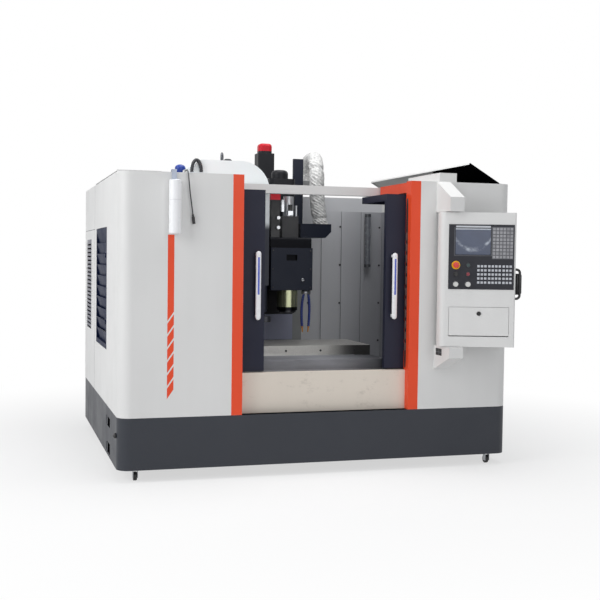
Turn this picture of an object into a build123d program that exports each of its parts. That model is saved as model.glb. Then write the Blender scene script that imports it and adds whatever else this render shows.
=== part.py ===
from build123d import *

import os
from math import radians, tan

# All lengths are millimetres. x runs to the right, d is the depth behind the front panels and z is
# the height above the floor. Every solid is built in (x, d, z) and centred in depth by DEPTH_CENTRE.

# Overall envelope
MACHINE_WIDTH = 2600
MACHINE_DEPTH = 2184
CONTROL_REACH = 298
GUARD_TOP = 1880
SKIRT_BOTTOM = 75
SKIRT_TOP = 393
CORNER_RADIUS = 78
AXIS_X = 20
SHEET = 3
FLANGE = 40
SEAM = 0.5
RUN_GAP = 0.3
OVERRUN = 20

# Bed, ways and feet
BED_HALF_WIDTH = 400
BED_FRONT = 340
BED_REAR_ROOM = 124
BED_BOTTOM = 110
BED_TOP = 430
BED_WALL = 90
BED_BAYS = 3
WAY_INNER = 200
WAY_OUTER = 290
WAY_FRONT = 390
WAY_REAR = 1470
WAY_TOP = 480
FOOT_SPREAD = 345
FOOT_RADIUS = 55
FOOT_HEIGHT = 18
STUD_RADIUS = 15
FOOT_DEPTH_SHARES = (0.06, 0.5, 0.94)

# Column, Z rails and screws
COLUMN_HALF_WIDTH = 280
COLUMN_FRONT = 1500
COLUMN_REAR = 1980
COLUMN_TOP = 1980
COLUMN_WALL = 55
COLUMN_FOOT = 50
COLUMN_FOOT_SPREAD = 60
COLUMN_RIBS = 3
RIB_THICKNESS = 30
CHANNEL_HALF_WIDTH = 70
CHANNEL_DEPTH = 80
RAIL_SPREAD = 140
RAIL_WIDTH = 45
RAIL_HEIGHT = 38
RAIL_BOTTOM = 700
RAIL_TOP_MARGIN = 20
SCREW_RADIUS = 16
SCREW_SETBACK = 31
SCREW_BLOCK_HALF = 60
SCREW_BLOCK_LENGTH = 40
Y_BLOCK_HALF = 50
Y_SCREW_HEIGHT = 455

# Servo motors
Y_MOTOR_HALF = 52
Y_MOTOR_LENGTH = 165
Z_MOTOR_HALF = 65
Z_MOTOR_HEIGHT = 190
Z_MOTOR_CAP = 78
Z_MOTOR_CAP_INSET = 13
Z_MOTOR_CAP_EDGE = 30
Z_MOTOR_CAP_ROUND = 24
Z_MOTOR_SETBACK = 97
MOTOR_EDGE = 12
MOTOR_PLATE = 10
MOTOR_PLATE_HALF = 100
X_MOTOR_HALF = 37
X_MOTOR_LENGTH = 150

# Saddle and X ways
SADDLE_HALF_WIDTH = 490
SADDLE_MARGIN = 3
SADDLE_TOP = 600
X_WAY_INNER = 130
X_WAY_OUTER = 200
X_SCREW_HEIGHT = 640
X_BRACKET_LENGTH = 20
X_BRACKET_HALF = 60
NUT_HALF_LENGTH = 60
NUT_HALF_WIDTH = 40
NUT_DROP = 70
Y_NUT_DROP = 46

# Table
TABLE_OFFSET = 50
TABLE_LENGTH = 1000
TABLE_WIDTH = 500
TABLE_TOP = 757
TABLE_THICKNESS = 77
SLOT_COUNT = 5
SLOT_PITCH = 90
SLOT_WIDTH = 18
SLOT_DEPTH = 32
SLOT_FOOT_WIDTH = 30
SLOT_FOOT_HEIGHT = 13
TABLE_EDGE = 4

# Telescopic way covers in front of the saddle
COVER_HALF_WIDTH = 445
COVER_TOP = 715
COVER_STEP = 12
COVER_WIPER = 18
COVER_BOTTOM = 560
COVER_FIXED_REAR = 410
COVER_MIDDLE_FRONT = 272
COVER_MIDDLE_LENGTH = 263
COVER_MOVING_FRONT = 400

# Head, cover and way cover
SPINDLE_D = 940
HEAD_HALF_WIDTH = 152
HEAD_NOSE = 85
HEAD_REAR = 1446
HEAD_BOTTOM = 1144
HEAD_TOP = 1516
HEAD_EDGE = 20
CARRIAGE_WIDTH = 80
CARRIAGE_DEPTH = 42
CARRIAGE_LENGTH = 80
CARRIAGE_LOW = 1180
CARRIAGE_PITCH = 250
RAIL_CLEARANCE = 0.5
Z_NUT_LOW = 1300
Z_NUT_HEIGHT = 100
Z_NUT_HALF = 45
HEAD_COVER_NOSE = 110
HEAD_COVER_TAIL = 60
HEAD_COVER_TOP = 1442
HEAD_COVER_EDGE = 8
VENT_WIDTH = 80
VENT_HEIGHT = 42
VENT_DROP = 48
WAY_COVER_HALF = 190
WAY_COVER_BOTTOM = 740
WAY_COVER_LAP = 20
WAY_COVER_LIP = 10

# Spindle and its motor
CARTRIDGE_RADIUS = 75
CARTRIDGE_BOTTOM = 995
CARTRIDGE_COLLAR = 18
CARTRIDGE_COLLAR_RADIUS = 84
NOSE_RADIUS = 64
NOSE_BOTTOM = 980
SHAFT_RADIUS = 38
SHAFT_TOP = 1500
TAPER_RADIUS = 22.2
TAPER_LENGTH = 65
TAPER_SMALL_RADIUS = 12.7
DRAWBAR_RADIUS = 8.5
KEY_WIDTH = 16
KEY_HEIGHT = 8
KEY_INNER = 30
KEY_OUTER = 52
SPINDLE_MOTOR_SETBACK = 240
SPINDLE_MOTOR_HALF = 98
SPINDLE_MOTOR_EDGE = 34
SPINDLE_MOTOR_TOP = 1950
SPINDLE_FLANGE = 20
SPINDLE_FLANGE_HALF = 108
FAN_RADIUS = 62
FAN_HEIGHT = 68
FAN_ROUND = 30

# Tool unclamp unit, coolant hoses and cable bracket on the head
CYLINDER_BASE_HALF = 60
CYLINDER_BASE_HEIGHT = 153
CYLINDER_RADIUS = 38
CYLINDER_HEIGHT = 141
EXHAUST_RADIUS = 8
EXHAUST_HEIGHT = 76
EXHAUST_INSET = 14
VALVE_OFFSET = 112
VALVE_NOSE = 40
VALVE_LOW = 1782
VALVE_HEIGHT = 40
VALVE_WIDTH = 70
VALVE_DEPTH = 50
TOWER_WIDTH = 62
REGULATOR_RADIUS = 12
REGULATOR_LENGTH = 24
REGULATOR_OFFSET = 17
REGULATOR_SHARES = (0.26, 0.52)
NOZZLE_BLOCK = 30
NOZZLE_BLOCK_LENGTH = 60
NOZZLE_X = 128
NOZZLE_NOSE = 60
NOZZLE_PITCH = 30
NOZZLE_TILT = 3
HOSE_RADIUS = 9
HOSE_WAIST = 7
HOSE_BEAD = 17
HOSE_BEADS = 14
NOZZLE_TIP_LENGTH = 42
NOZZLE_TIP_RADIUS = 4
BRACKET_WIDTH = 240
BRACKET_LOW = 1523
BRACKET_TOP = 1626
BRACKET_REAR_ROOM = 116
BRACKET_DEPTH = 200
BRACKET_CHAMFER = 45
TROUGH_WIDTH = 76
TROUGH_LOW = 1440
TROUGH_TOP = 2122
TROUGH_LIP = 30
SLEEVE_RADIUS = 62
SLEEVE_X = 325
SLEEVE_CREST = 2135
SLEEVE_END_X = 400
SLEEVE_END_D = 1700
SLEEVE_RISE_BEND = 200
SLEEVE_FALL_BEND = 105
SHELF_REACH = 190
SHELF_HALF_LENGTH = 90
SHELF_THICKNESS = 30

# Tool magazine and changer
MAGAZINE_LEFT = -723
MAGAZINE_RIGHT = -198
MAGAZINE_FRONT = 650
MAGAZINE_REAR = 1250
MAGAZINE_BOTTOM = 1180
MAGAZINE_TOP = 2024
MAGAZINE_BIG_RADIUS = 200
MAGAZINE_SMALL_RADIUS = 60
MAGAZINE_PLATE = 12
DISC_X = -460
DISC_HEIGHT = 1520
DISC_RADIUS = 250
DISC_THICKNESS = 18
DISC_D = 1000
HUB_RADIUS = 60
HUB_LENGTH = 100
PIN_RADIUS = 30
PIN_FRONT = 950
PIN_HEAD_RADIUS = 42
PIN_HEAD_LENGTH = 10
POCKET_COUNT = 20
POCKET_CIRCLE = 215
POCKET_RADIUS = 28
POCKET_BORE = 20
POCKET_LENGTH = 120
CAM_LEFT = -320
CAM_RIGHT = -150
CAM_NOSE = 80
CAM_REAR = 1300
CAM_BOTTOM = 985
CAM_EDGE = 12
CAM_BRACKET_REAR = 1560
ARM_AXIS_X = -210
ARM_TOP = 965
ARM_THICKNESS = 40
ARM_HALF_WIDTH = 30
ARM_REACH = 230
ARM_HUB_RADIUS = 46
ARM_GRIP_RADIUS = 44
ARM_GRIP_BORE = 27
ARM_SHAFT_RADIUS = 25
ARM_SHAFT_LENGTH = 80

# Orange trims, apron and sill
OPENING_WIDTH = 1110
TRIM_WIDTH = 69
TRIM_RETURN = 80
TRIM_LEG_LOW = 1806
TRIM_LEG_HEIGHT = 66
TRIM_LEG_REAR = 550
APRON_SETBACK = 56
SILL_TOP = 647
SILL_REAR = 142
SILL_END = 10
DOOR_RAIL_SETBACK = 100
DOOR_RAIL_THICKNESS = 12
DOOR_RAIL_HEIGHT = 8

# Sliding doors
DOOR_LAP = 20
DOOR_FRONT = 86
DOOR_THICKNESS = 40
DOOR_TOP = 1796
DOOR_ROOF_REAR = 550
DOOR_LIP = 45
DOOR_STILE = 38
DOOR_MEETING_GAP = 1
LEFT_DOOR_SHOW = 160
RIGHT_DOOR_SHOW = 135
WINDOW_INNER_MARGIN = 165
WINDOW_OUTER_MARGIN = 60
WINDOW_BOTTOM = 880
WINDOW_TOP = 1620
WINDOW_RADIUS = 40
GLASS_LAP = 14
GLASS_THICKNESS = 6
HANDLE_INSET = 50
HANDLE_WIDTH = 34
HANDLE_BOTTOM = 980
HANDLE_LENGTH = 432
HANDLE_STAND = 45
HANDLE_BAR = 18
HANDLE_FOOT = 40
HANDLE_EDGE = 6

# Guards, roof and lids
LEFT_GUARD_DEPTH = 1452
ROOF_REAR = 545
REAR_RETURN = 600
BEAM_FRONT = 560
BEAM_DEPTH = 60
BEAM_BOTTOM = 1807
BEAM_HEIGHT = 60
LID_WIDTH = 265
LID_INSET = 12
LID_RISE = 8
LID_FRONT = 150
LEFT_LID_REAR = 1432
RIGHT_LID_REAR_ROOM = 173
LID_LIP = 14
LID_CLEARANCE = 6
LID_ANGLE = 30
HINGE_PIN_RADIUS = 4
HINGE_TUBE_RADIUS = 7
EAR_THICKNESS = 8
EAR_GAP = 2
DUCT_LEFT = 783
DUCT_WIDTH = 122
DUCT_HEIGHT = 60
DUCT_FRONT = 20

# Arms that carry the control box
ARM_LEFT = 754
ARM_WIDTH = 97
UPPER_ARM_REACH = 215
UPPER_ARM_BOTTOM = 1679
UPPER_ARM_FRONT_HEIGHT = 91
LOWER_ARM_REACH = 235
LOWER_ARM_TOP = 813
LOWER_ARM_FRONT_HEIGHT = 66
LOWER_ARM_BACK_HEIGHT = 158

# Control box, in its own frame: u to the right of the pivot, v behind it
PIVOT_X = 802
PIVOT_REACH = 130
PIVOT_RADIUS = 18
PIVOT_DEPTH = 20
PIVOT_COLLAR = 30
CONTROL_TURN = 18.6
CONTROL_LEFT = 76
CONTROL_RIGHT = 410
CONTROL_FRONT = 40
CONTROL_BACK = 80
CONTROL_BOTTOM = 816
CONTROL_HEIGHT = 860
CONTROL_BIG_RADIUS = 40
CONTROL_SMALL_RADIUS = 10
FASCIA_LEFT = -19
FASCIA_WIDTH = 417
FASCIA_TOP_DROP = 77
FASCIA_HEIGHT = 414
FASCIA_MARGIN = 10
SCREEN_INSET = 43
SCREEN_WIDTH = 223
SCREEN_DROP = 26
SCREEN_HEIGHT = 166
SCREEN_GLASS = 2.5
KEYPAD_INSET = 276
KEYPAD_WIDTH = 133
KEYPAD_DROP = 17
KEYPAD_HEIGHT = 200
KEYPAD_RISE = 1.5
KEYPAD_COLUMNS = 6
KEYPAD_ROWS = 9
KEYPAD_KEY_SHARE = 0.74
KEY_SIZE = 15
KEY_RISE = 2
KEY_ROWS = 5
KEY_ROW_PITCH = 26
KEY_TOP_DROP = 266
KEY_COLUMN_INSET = 191
KEY_COLUMN_PITCH = 22
KEY_GROUP_GAP = 3
KEY_GROUP_COUNTS = (3, 4, 3)
CONTROL_COLUMN_INSET = 47
CONTROL_COLUMN_PITCH = 78
ESTOP_DROP = 260
SELECTOR_DROP = 317
DIAL_DROP = 382
ESTOP_RING_RADIUS = 27
ESTOP_RING_RISE = 2
ESTOP_RADIUS = 19
ESTOP_HEAD = 10
ESTOP_STAND = 15
BUTTON_RADIUS = 11
BUTTON_RISE = 9
BUTTON_BEZEL_RADIUS = 15
BUTTON_BEZEL_RISE = 4
STEM_RADIUS = 4
STEM_LENGTH = 9
SELECTOR_RADIUS = 14
SELECTOR_RISE = 7
SELECTOR_BAR = 9
SELECTOR_BAR_RISE = 11
DIAL_RADIUS = 16
DIAL_RISE = 18
DIAL_FLUTES = 12
DIAL_FLUTE_RADIUS = 2
STORE_LEFT = -13
STORE_WIDTH = 385
STORE_BOTTOM_RISE = 66
STORE_HEIGHT = 190
STORE_DEPTH = 92
FLAP_GAP = 2
FLAP_FOOT_GAP = 6
FLAP_PIN_RADIUS = 2
FLAP_TUBE_RADIUS = 5
FLAP_PIN_RISE = 7
FLAP_PIN_SETBACK = 6
LOCK_RADIUS = 14
LOCK_RISE = 4
LOCK_DROP = 40
BOW_RADIUS = 8
BOW_STAND = 45
BOW_BOTTOM = 1126
BOW_LENGTH = 188
BOW_BEND = 22

# Splash walls and lamp
WALL_LEFT = -930
WALL_RIGHT = 960
WALL_TOP = 1740
WALL_FOLD = 12
WALL_FOLDS = 3
CAM_WINDOW = 330
PAN_LAP = 60
LAMP_X = 832
LAMP_RADIUS = 21
LAMP_BOTTOM = 1305
LAMP_TOP = 1725
LAMP_STAND = 27
LAMP_CAP = 22
LAMP_BRACKET = 24

# Electrical cabinet and its door
CABINET_FRONT = 1503
CABINET_WING_FRONT = 1455
CABINET_RIGHT = -420
CABINET_VENT_SHARES = (0.35, 0.79)
CABINET_VENT_BOTTOM = 816
CABINET_VENT_HEIGHT = 671
CABINET_SLOT_PITCH = 30
CABINET_SLOT_HEIGHT = 12
CABINET_PLATE = 6
CABINET_PLATE_MARGIN = 60
DRIVE_COUNT = 5
DRIVE_WIDTH = 110
DRIVE_DEPTH = 180
DRIVE_HEIGHT = 340
DRIVE_LOW = 1300
TRANSFORMER_WIDTH = 260
TRANSFORMER_HEIGHT = 220
TRANSFORMER_DEPTH = 190
CABINET_DOOR_GAP = 4
CABINET_DOOR_THICKNESS = 20
CABINET_DOOR_MARGIN = 8
CABINET_STILE = 22
CABINET_PIN_INSET = 10
CABINET_HANDLE_LENGTH = 160
CABINET_HANDLE_WIDTH = 26
CABINET_HANDLE_RISE = 14

# Louvred door in the left side
LOUVRE_FRONT = 650
LOUVRE_LENGTH = 677
LOUVRE_BOTTOM = 755
LOUVRE_HEIGHT = 803
LOUVRE_THICKNESS = 24
LOUVRE_FRAME = 30
LOUVRE_GAP = 3
LOUVRE_HINGE_GAP = 6
LOUVRE_PIN_INSET = 12
LOUVRE_SLATS = 10
LOUVRE_SLAT_THICKNESS = 3
LOUVRE_SLAT_WIDTH = 84
LOUVRE_SLAT_TILT = 76
LOUVRE_LUG = 12
LATCH_RADIUS = 15
LATCH_RISE = 6
LATCH_INSET = 50
LATCH_HEIGHT_SHARES = (0.22, 0.77)

# Coolant tank, skirt and casters
TANK_DEPTH = 700
TANK_WALL = 4
TANK_NECK = 320
TANK_NOTCH_HALF = 480
TANK_SLOT_FRONT = 420
TANK_SLOT_LENGTH = 200
TANK_SLOT_HEIGHT = 58
TANK_SLOT_LOW = 22
TANK_SLOT_HIGH = 195
TANK_SLOT_RECESS = 2.5
CASTER_INSET = 115
CASTER_D = 62
CASTER_TRAIL = 18
CASTER_PLATE_HALF = 26
CASTER_PLATE = 5
CASTER_CHEEK = 3
CASTER_CHEEK_HALF = 16
CASTER_STEM_RADIUS = 7
CASTER_BOSS_RADIUS = 14
CASTER_BOSS_HEIGHT = 22
WHEEL_RADIUS = 27
WHEEL_WIDTH = 22
WHEEL_GAP = 1
WHEEL_EDGE = 4
AXLE_RADIUS = 4
REAR_ROLLER_D = 640

# Canister hung on the left front panel, with its cable
CANISTER_X = -969
CANISTER_RADIUS = 37
CANISTER_BOTTOM = 1508
CANISTER_TOP = 1834
CANISTER_EDGE = 9
CLIP_WIDTH = 30
CLIP_TOP = 1897
CLIP_STRAP = 4
CABLE_DIAMETER = 7.5
GLAND_RADIUS = 10
GLAND_LENGTH = 30
PLUG_RADIUS = 9
PLUG_LENGTH = 58
PLUG_COLLAR = 14
CABLE_X = -888
CABLE_UNIT = 100
CABLE_BEND_SHARE = 0.45
CABLE_SHARES = [
    (0, 0.78, 0.15),
    (0, 0.42, 0.18),
    (0.005, 0.06, 0.18),
    (0.015, -0.18, -0.04),
    (0.04, -0.24, -0.42),
    (0.09, -0.23, -0.94),
    (0.16, -0.21, -1.47),
    (0.24, -0.19, -2),
    (0.31, -0.18, -2.53),
]

# Places that follow from the sizes above
CABINET_DOOR_FRONT = MACHINE_DEPTH + CABINET_DOOR_GAP
CABINET_DOOR_REAR = CABINET_DOOR_FRONT + CABINET_DOOR_THICKNESS
DEPTH_CENTRE = (CABINET_DOOR_REAR + CABINET_HANDLE_RISE - CONTROL_REACH) / 2
LEFT = -MACHINE_WIDTH / 2
RIGHT = MACHINE_WIDTH / 2
BED_REAR = MACHINE_DEPTH - BED_REAR_ROOM
RIGHT_LID_REAR = MACHINE_DEPTH - RIGHT_LID_REAR_ROOM
HEAD_FRONT = SPINDLE_D - HEAD_NOSE
HEAD_COVER_FRONT = SPINDLE_D - HEAD_COVER_NOSE
HEAD_COVER_REAR = SPINDLE_D + HEAD_COVER_TAIL
SPINDLE_MOTOR_D = SPINDLE_D + SPINDLE_MOTOR_SETBACK
VALVE_D = SPINDLE_D - VALVE_NOSE
NOZZLE_D = SPINDLE_D - NOZZLE_NOSE
BRACKET_REAR = HEAD_REAR - BRACKET_REAR_ROOM
BRACKET_FRONT = BRACKET_REAR - BRACKET_DEPTH
SLEEVE_D = BRACKET_REAR - BRACKET_DEPTH / 2
CAM_FRONT = SPINDLE_D - CAM_NOSE
DOOR_WIDTH = OPENING_WIDTH / 2 + DOOR_LAP
LEFT_DOOR_TRAVEL = OPENING_WIDTH / 2 - LEFT_DOOR_SHOW
RIGHT_DOOR_TRAVEL = OPENING_WIDTH / 2 - RIGHT_DOOR_SHOW
CABLE_ROUTE = [
    (CABLE_X + x * CABLE_UNIT, d * CABLE_UNIT, GUARD_TOP + z * CABLE_UNIT) for x, d, z in CABLE_SHARES
]
SADDLE_BOTTOM = WAY_TOP + RUN_GAP
TABLE_BOTTOM = TABLE_TOP - TABLE_THICKNESS
TABLE_X = AXIS_X + TABLE_OFFSET
TABLE_FRONT = SPINDLE_D - TABLE_WIDTH / 2
TABLE_REAR = SPINDLE_D + TABLE_WIDTH / 2
SADDLE_FRONT = TABLE_FRONT - SADDLE_MARGIN
SADDLE_REAR = TABLE_REAR + SADDLE_MARGIN
Z_SCREW_D = COLUMN_FRONT + SCREW_SETBACK
Z_MOTOR_D = Z_SCREW_D + Z_MOTOR_SETBACK
WALL_REAR = COLUMN_FRONT - SHEET
DOOR_BOTTOM = SILL_TOP + DOOR_RAIL_HEIGHT + SEAM
FASCIA_TOP = CONTROL_BOTTOM + CONTROL_HEIGHT - FASCIA_TOP_DROP
FASCIA_FACE = -CONTROL_FRONT - SHEET
CONTROL_COLUMN = FASCIA_LEFT + CONTROL_COLUMN_INSET
STORE_BOTTOM = CONTROL_BOTTOM + STORE_BOTTOM_RISE
LID_HINGE_X = RIGHT - LID_INSET
LID_HINGE_Z = GUARD_TOP + LID_RISE
CABINET_PIN_D = CABINET_DOOR_FRONT + CABINET_DOOR_THICKNESS / 2
LOUVRE_REAR = LOUVRE_FRONT + LOUVRE_LENGTH
LOUVRE_TOP = LOUVRE_BOTTOM + LOUVRE_HEIGHT
LOUVRE_PIN_X = LEFT + LOUVRE_PIN_INSET
LOUVRE_PIN_D = LOUVRE_REAR - LOUVRE_PIN_INSET
TANK_TOP = SKIRT_TOP - SEAM
CLAMP_TOP = BRACKET_LOW + BRACKET_CHAMFER + 2 * SHEET
CONTROL_PLACE = Pos(PIVOT_X, -PIVOT_REACH - DEPTH_CENTRE, 0) * Rot(0, 0, -CONTROL_TURN)


def block(x_low, x_high, d_low, d_high, z_low, z_high):
    """A box between two corners."""
    middle = Pos((x_low + x_high) / 2, (d_low + d_high) / 2 - DEPTH_CENTRE, (z_low + z_high) / 2)
    return middle * Box(x_high - x_low, d_high - d_low, z_high - z_low)


def span(first, second, d_low, d_high, z_low, z_high):
    """A box whose two x values may come in either order."""
    return block(min(first, second), max(first, second), d_low, d_high, z_low, z_high)


def upright(x, d, radius, z_low, z_high):
    """A vertical round bar."""
    return Pos(x, d - DEPTH_CENTRE, (z_low + z_high) / 2) * Cylinder(radius, z_high - z_low)


def rod_x(x_low, x_high, d, z, radius):
    """A round bar along x."""
    return Pos((x_low + x_high) / 2, d - DEPTH_CENTRE, z) * Rot(0, 90, 0) * Cylinder(radius, x_high - x_low)


def rod_y(x, d_low, d_high, z, radius):
    """A round bar along the depth."""
    return Pos(x, (d_low + d_high) / 2 - DEPTH_CENTRE, z) * Rot(90, 0, 0) * Cylinder(radius, d_high - d_low)


def side_prism(points, x_low, x_high):
    """An outline of (d, z) points carried along x."""
    outline = make_face(Polyline([(0, d - DEPTH_CENTRE, z) for d, z in points], close=True))
    return Pos(x_low, 0, 0) * extrude(outline, x_high - x_low, dir=(1, 0, 0))


def front_prism(points, d_low, d_high):
    """An outline of (x, z) points carried along the depth."""
    outline = make_face(Polyline([(x, 0, z) for x, z in points], close=True))
    return Pos(0, d_low - DEPTH_CENTRE, 0) * extrude(outline, d_high - d_low, dir=(0, 1, 0))


def round_edges(solid, axis, radius, places):
    """Round the edges along an axis that lie nearest to the given (x, d, z) directions."""
    edges = []
    for x, d, z in places:
        direction = Vector(x, d, z)
        edges.append(max(solid.edges().filter_by(axis), key=lambda edge: edge.center().dot(direction)))
    return fillet(edges, radius)


def rounded_front(x_low, x_high, d_low, d_high, z_low, z_high, radius, sides):
    """A box whose front vertical corners are rounded on the given sides."""
    solid = block(x_low, x_high, d_low, d_high, z_low, z_high)
    return round_edges(solid, Axis.Z, radius, [(side, -1, 0) for side in sides])


def rounded_upright(solid, radius):
    """The same solid with all its vertical edges rounded."""
    return fillet(solid.edges().filter_by(Axis.Z), radius)


def panel_block(u_low, u_high, v_low, v_high, z_low, z_high):
    """A box in the control box's own turned frame, not yet placed."""
    middle = Pos((u_low + u_high) / 2, (v_low + v_high) / 2, (z_low + z_high) / 2)
    return middle * Box(u_high - u_low, v_high - v_low, z_high - z_low)


def panel_rod(u, z, radius, v_low, v_high):
    """A round bar along v in the control box's frame."""
    return Pos(u, (v_low + v_high) / 2, z) * Rot(90, 0, 0) * Cylinder(radius, v_high - v_low)


def save(name, *shapes):
    """Write one node as a group of its solids."""
    solids = [solid for shape in shapes for solid in shape.solids()]
    export_step(Compound(children=solids), f"parts/{name}.step")


# Structure
def levelling_feet():
    """Round pads on threaded studs under the bed."""
    feet = []
    for share in FOOT_DEPTH_SHARES:
        d = BED_FRONT + share * (BED_REAR - BED_FRONT)
        for side in (-1, 1):
            x = AXIS_X + side * FOOT_SPREAD
            foot = upright(x, d, FOOT_RADIUS, 0, FOOT_HEIGHT)
            foot += upright(x, d, STUD_RADIUS, FOOT_HEIGHT, BED_BOTTOM)
            feet.append(foot)
    return feet


def bed_casting():
    """The bed: a ribbed block, hollow from below, with two flat ways for the saddle."""
    bed = block(AXIS_X - BED_HALF_WIDTH, AXIS_X + BED_HALF_WIDTH, BED_FRONT, BED_REAR, BED_BOTTOM, BED_TOP)
    bay = (BED_REAR - BED_FRONT - BED_WALL) / BED_BAYS
    for index in range(BED_BAYS):
        d_low = BED_FRONT + BED_WALL + index * bay
        bed -= block(
            AXIS_X - BED_HALF_WIDTH + BED_WALL, AXIS_X + BED_HALF_WIDTH - BED_WALL,
            d_low, d_low + bay - BED_WALL, BED_BOTTOM - OVERRUN, BED_TOP - BED_WALL,
        )
    for side in (-1, 1):
        bed += span(
            AXIS_X + side * WAY_INNER, AXIS_X + side * WAY_OUTER, WAY_FRONT, WAY_REAR, BED_TOP, WAY_TOP
        )
    return bed


def column_casting():
    """The column: a foot flange and a tall ribbed box, with a screw channel and a shelf for the sleeve."""
    column = block(
        AXIS_X - COLUMN_HALF_WIDTH, AXIS_X + COLUMN_HALF_WIDTH, COLUMN_FRONT, COLUMN_REAR, BED_TOP, COLUMN_TOP
    )
    column += block(
        AXIS_X - COLUMN_HALF_WIDTH - COLUMN_FOOT_SPREAD, AXIS_X + COLUMN_HALF_WIDTH + COLUMN_FOOT_SPREAD,
        COLUMN_FRONT, COLUMN_REAR + COLUMN_FOOT_SPREAD, BED_TOP, BED_TOP + COLUMN_FOOT,
    )
    side = AXIS_X + COLUMN_HALF_WIDTH
    column += block(
        side, side + SHELF_REACH, SLEEVE_END_D - SHELF_HALF_LENGTH, SLEEVE_END_D + SHELF_HALF_LENGTH,
        COLUMN_TOP - SHELF_THICKNESS, COLUMN_TOP,
    )
    hollow_low = BED_TOP + COLUMN_FOOT + COLUMN_WALL
    hollow_front = COLUMN_FRONT + CHANNEL_DEPTH + COLUMN_WALL
    bay = (COLUMN_TOP - COLUMN_WALL - hollow_low + RIB_THICKNESS) / (COLUMN_RIBS + 1)
    for index in range(COLUMN_RIBS + 1):
        z_low = hollow_low + index * bay
        column -= block(
            AXIS_X - COLUMN_HALF_WIDTH + COLUMN_WALL, AXIS_X + COLUMN_HALF_WIDTH - COLUMN_WALL,
            hollow_front, COLUMN_REAR + COLUMN_FOOT_SPREAD + OVERRUN, z_low, z_low + bay - RIB_THICKNESS,
        )
    column -= block(
        AXIS_X - CHANNEL_HALF_WIDTH, AXIS_X + CHANNEL_HALF_WIDTH,
        COLUMN_FRONT - OVERRUN, COLUMN_FRONT + CHANNEL_DEPTH, RAIL_BOTTOM, COLUMN_TOP + OVERRUN,
    )
    return column


def axis_guides():
    """Z rails, the Z and Y screws and the blocks that hold them."""
    pieces = []
    for side in (-1, 1):
        x = AXIS_X + side * RAIL_SPREAD
        pieces.append(block(
            x - RAIL_WIDTH / 2, x + RAIL_WIDTH / 2, COLUMN_FRONT - RAIL_HEIGHT, COLUMN_FRONT,
            RAIL_BOTTOM, COLUMN_TOP - RAIL_TOP_MARGIN,
        ))
    z_screw = upright(AXIS_X, Z_SCREW_D, SCREW_RADIUS, RAIL_BOTTOM, COLUMN_TOP)
    for z_low in (RAIL_BOTTOM, COLUMN_TOP - SCREW_BLOCK_LENGTH):
        z_screw += block(
            AXIS_X - SCREW_BLOCK_HALF, AXIS_X + SCREW_BLOCK_HALF, COLUMN_FRONT,
            COLUMN_FRONT + CHANNEL_DEPTH, z_low, z_low + SCREW_BLOCK_LENGTH,
        )
    y_screw = rod_y(AXIS_X, BED_FRONT, WAY_REAR, Y_SCREW_HEIGHT, SCREW_RADIUS)
    for d_low in (BED_FRONT, WAY_REAR - SCREW_BLOCK_LENGTH):
        y_screw += block(
            AXIS_X - Y_BLOCK_HALF, AXIS_X + Y_BLOCK_HALF, d_low, d_low + SCREW_BLOCK_LENGTH, BED_TOP, WAY_TOP
        )
    return pieces + [z_screw, y_screw]


def servo_motors():
    """The Y motor in front of the bed and the Z motor with its cap on the column."""
    y_motor = block(
        AXIS_X - Y_MOTOR_HALF, AXIS_X + Y_MOTOR_HALF, BED_FRONT - Y_MOTOR_LENGTH, BED_FRONT,
        Y_SCREW_HEIGHT - Y_MOTOR_HALF, Y_SCREW_HEIGHT + Y_MOTOR_HALF,
    )
    y_motor = fillet(y_motor.edges().filter_by(Axis.Y), MOTOR_EDGE)
    plate_top = COLUMN_TOP + MOTOR_PLATE
    body_top = plate_top + Z_MOTOR_HEIGHT
    z_motor = rounded_upright(block(
        AXIS_X - Z_MOTOR_HALF, AXIS_X + Z_MOTOR_HALF, Z_MOTOR_D - Z_MOTOR_HALF, Z_MOTOR_D + Z_MOTOR_HALF,
        plate_top, body_top,
    ), MOTOR_EDGE)
    z_motor += block(
        AXIS_X - MOTOR_PLATE_HALF, AXIS_X + MOTOR_PLATE_HALF, COLUMN_FRONT,
        Z_MOTOR_D + MOTOR_PLATE_HALF, COLUMN_TOP, plate_top,
    )
    cap_half = Z_MOTOR_HALF - Z_MOTOR_CAP_INSET
    cap = rounded_upright(block(
        AXIS_X - cap_half, AXIS_X + cap_half, Z_MOTOR_D - cap_half, Z_MOTOR_D + cap_half,
        body_top, body_top + Z_MOTOR_CAP,
    ), Z_MOTOR_CAP_EDGE)
    return [y_motor, z_motor, fillet(cap.faces().sort_by(Axis.Z)[-1].edges(), Z_MOTOR_CAP_ROUND)]


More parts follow.
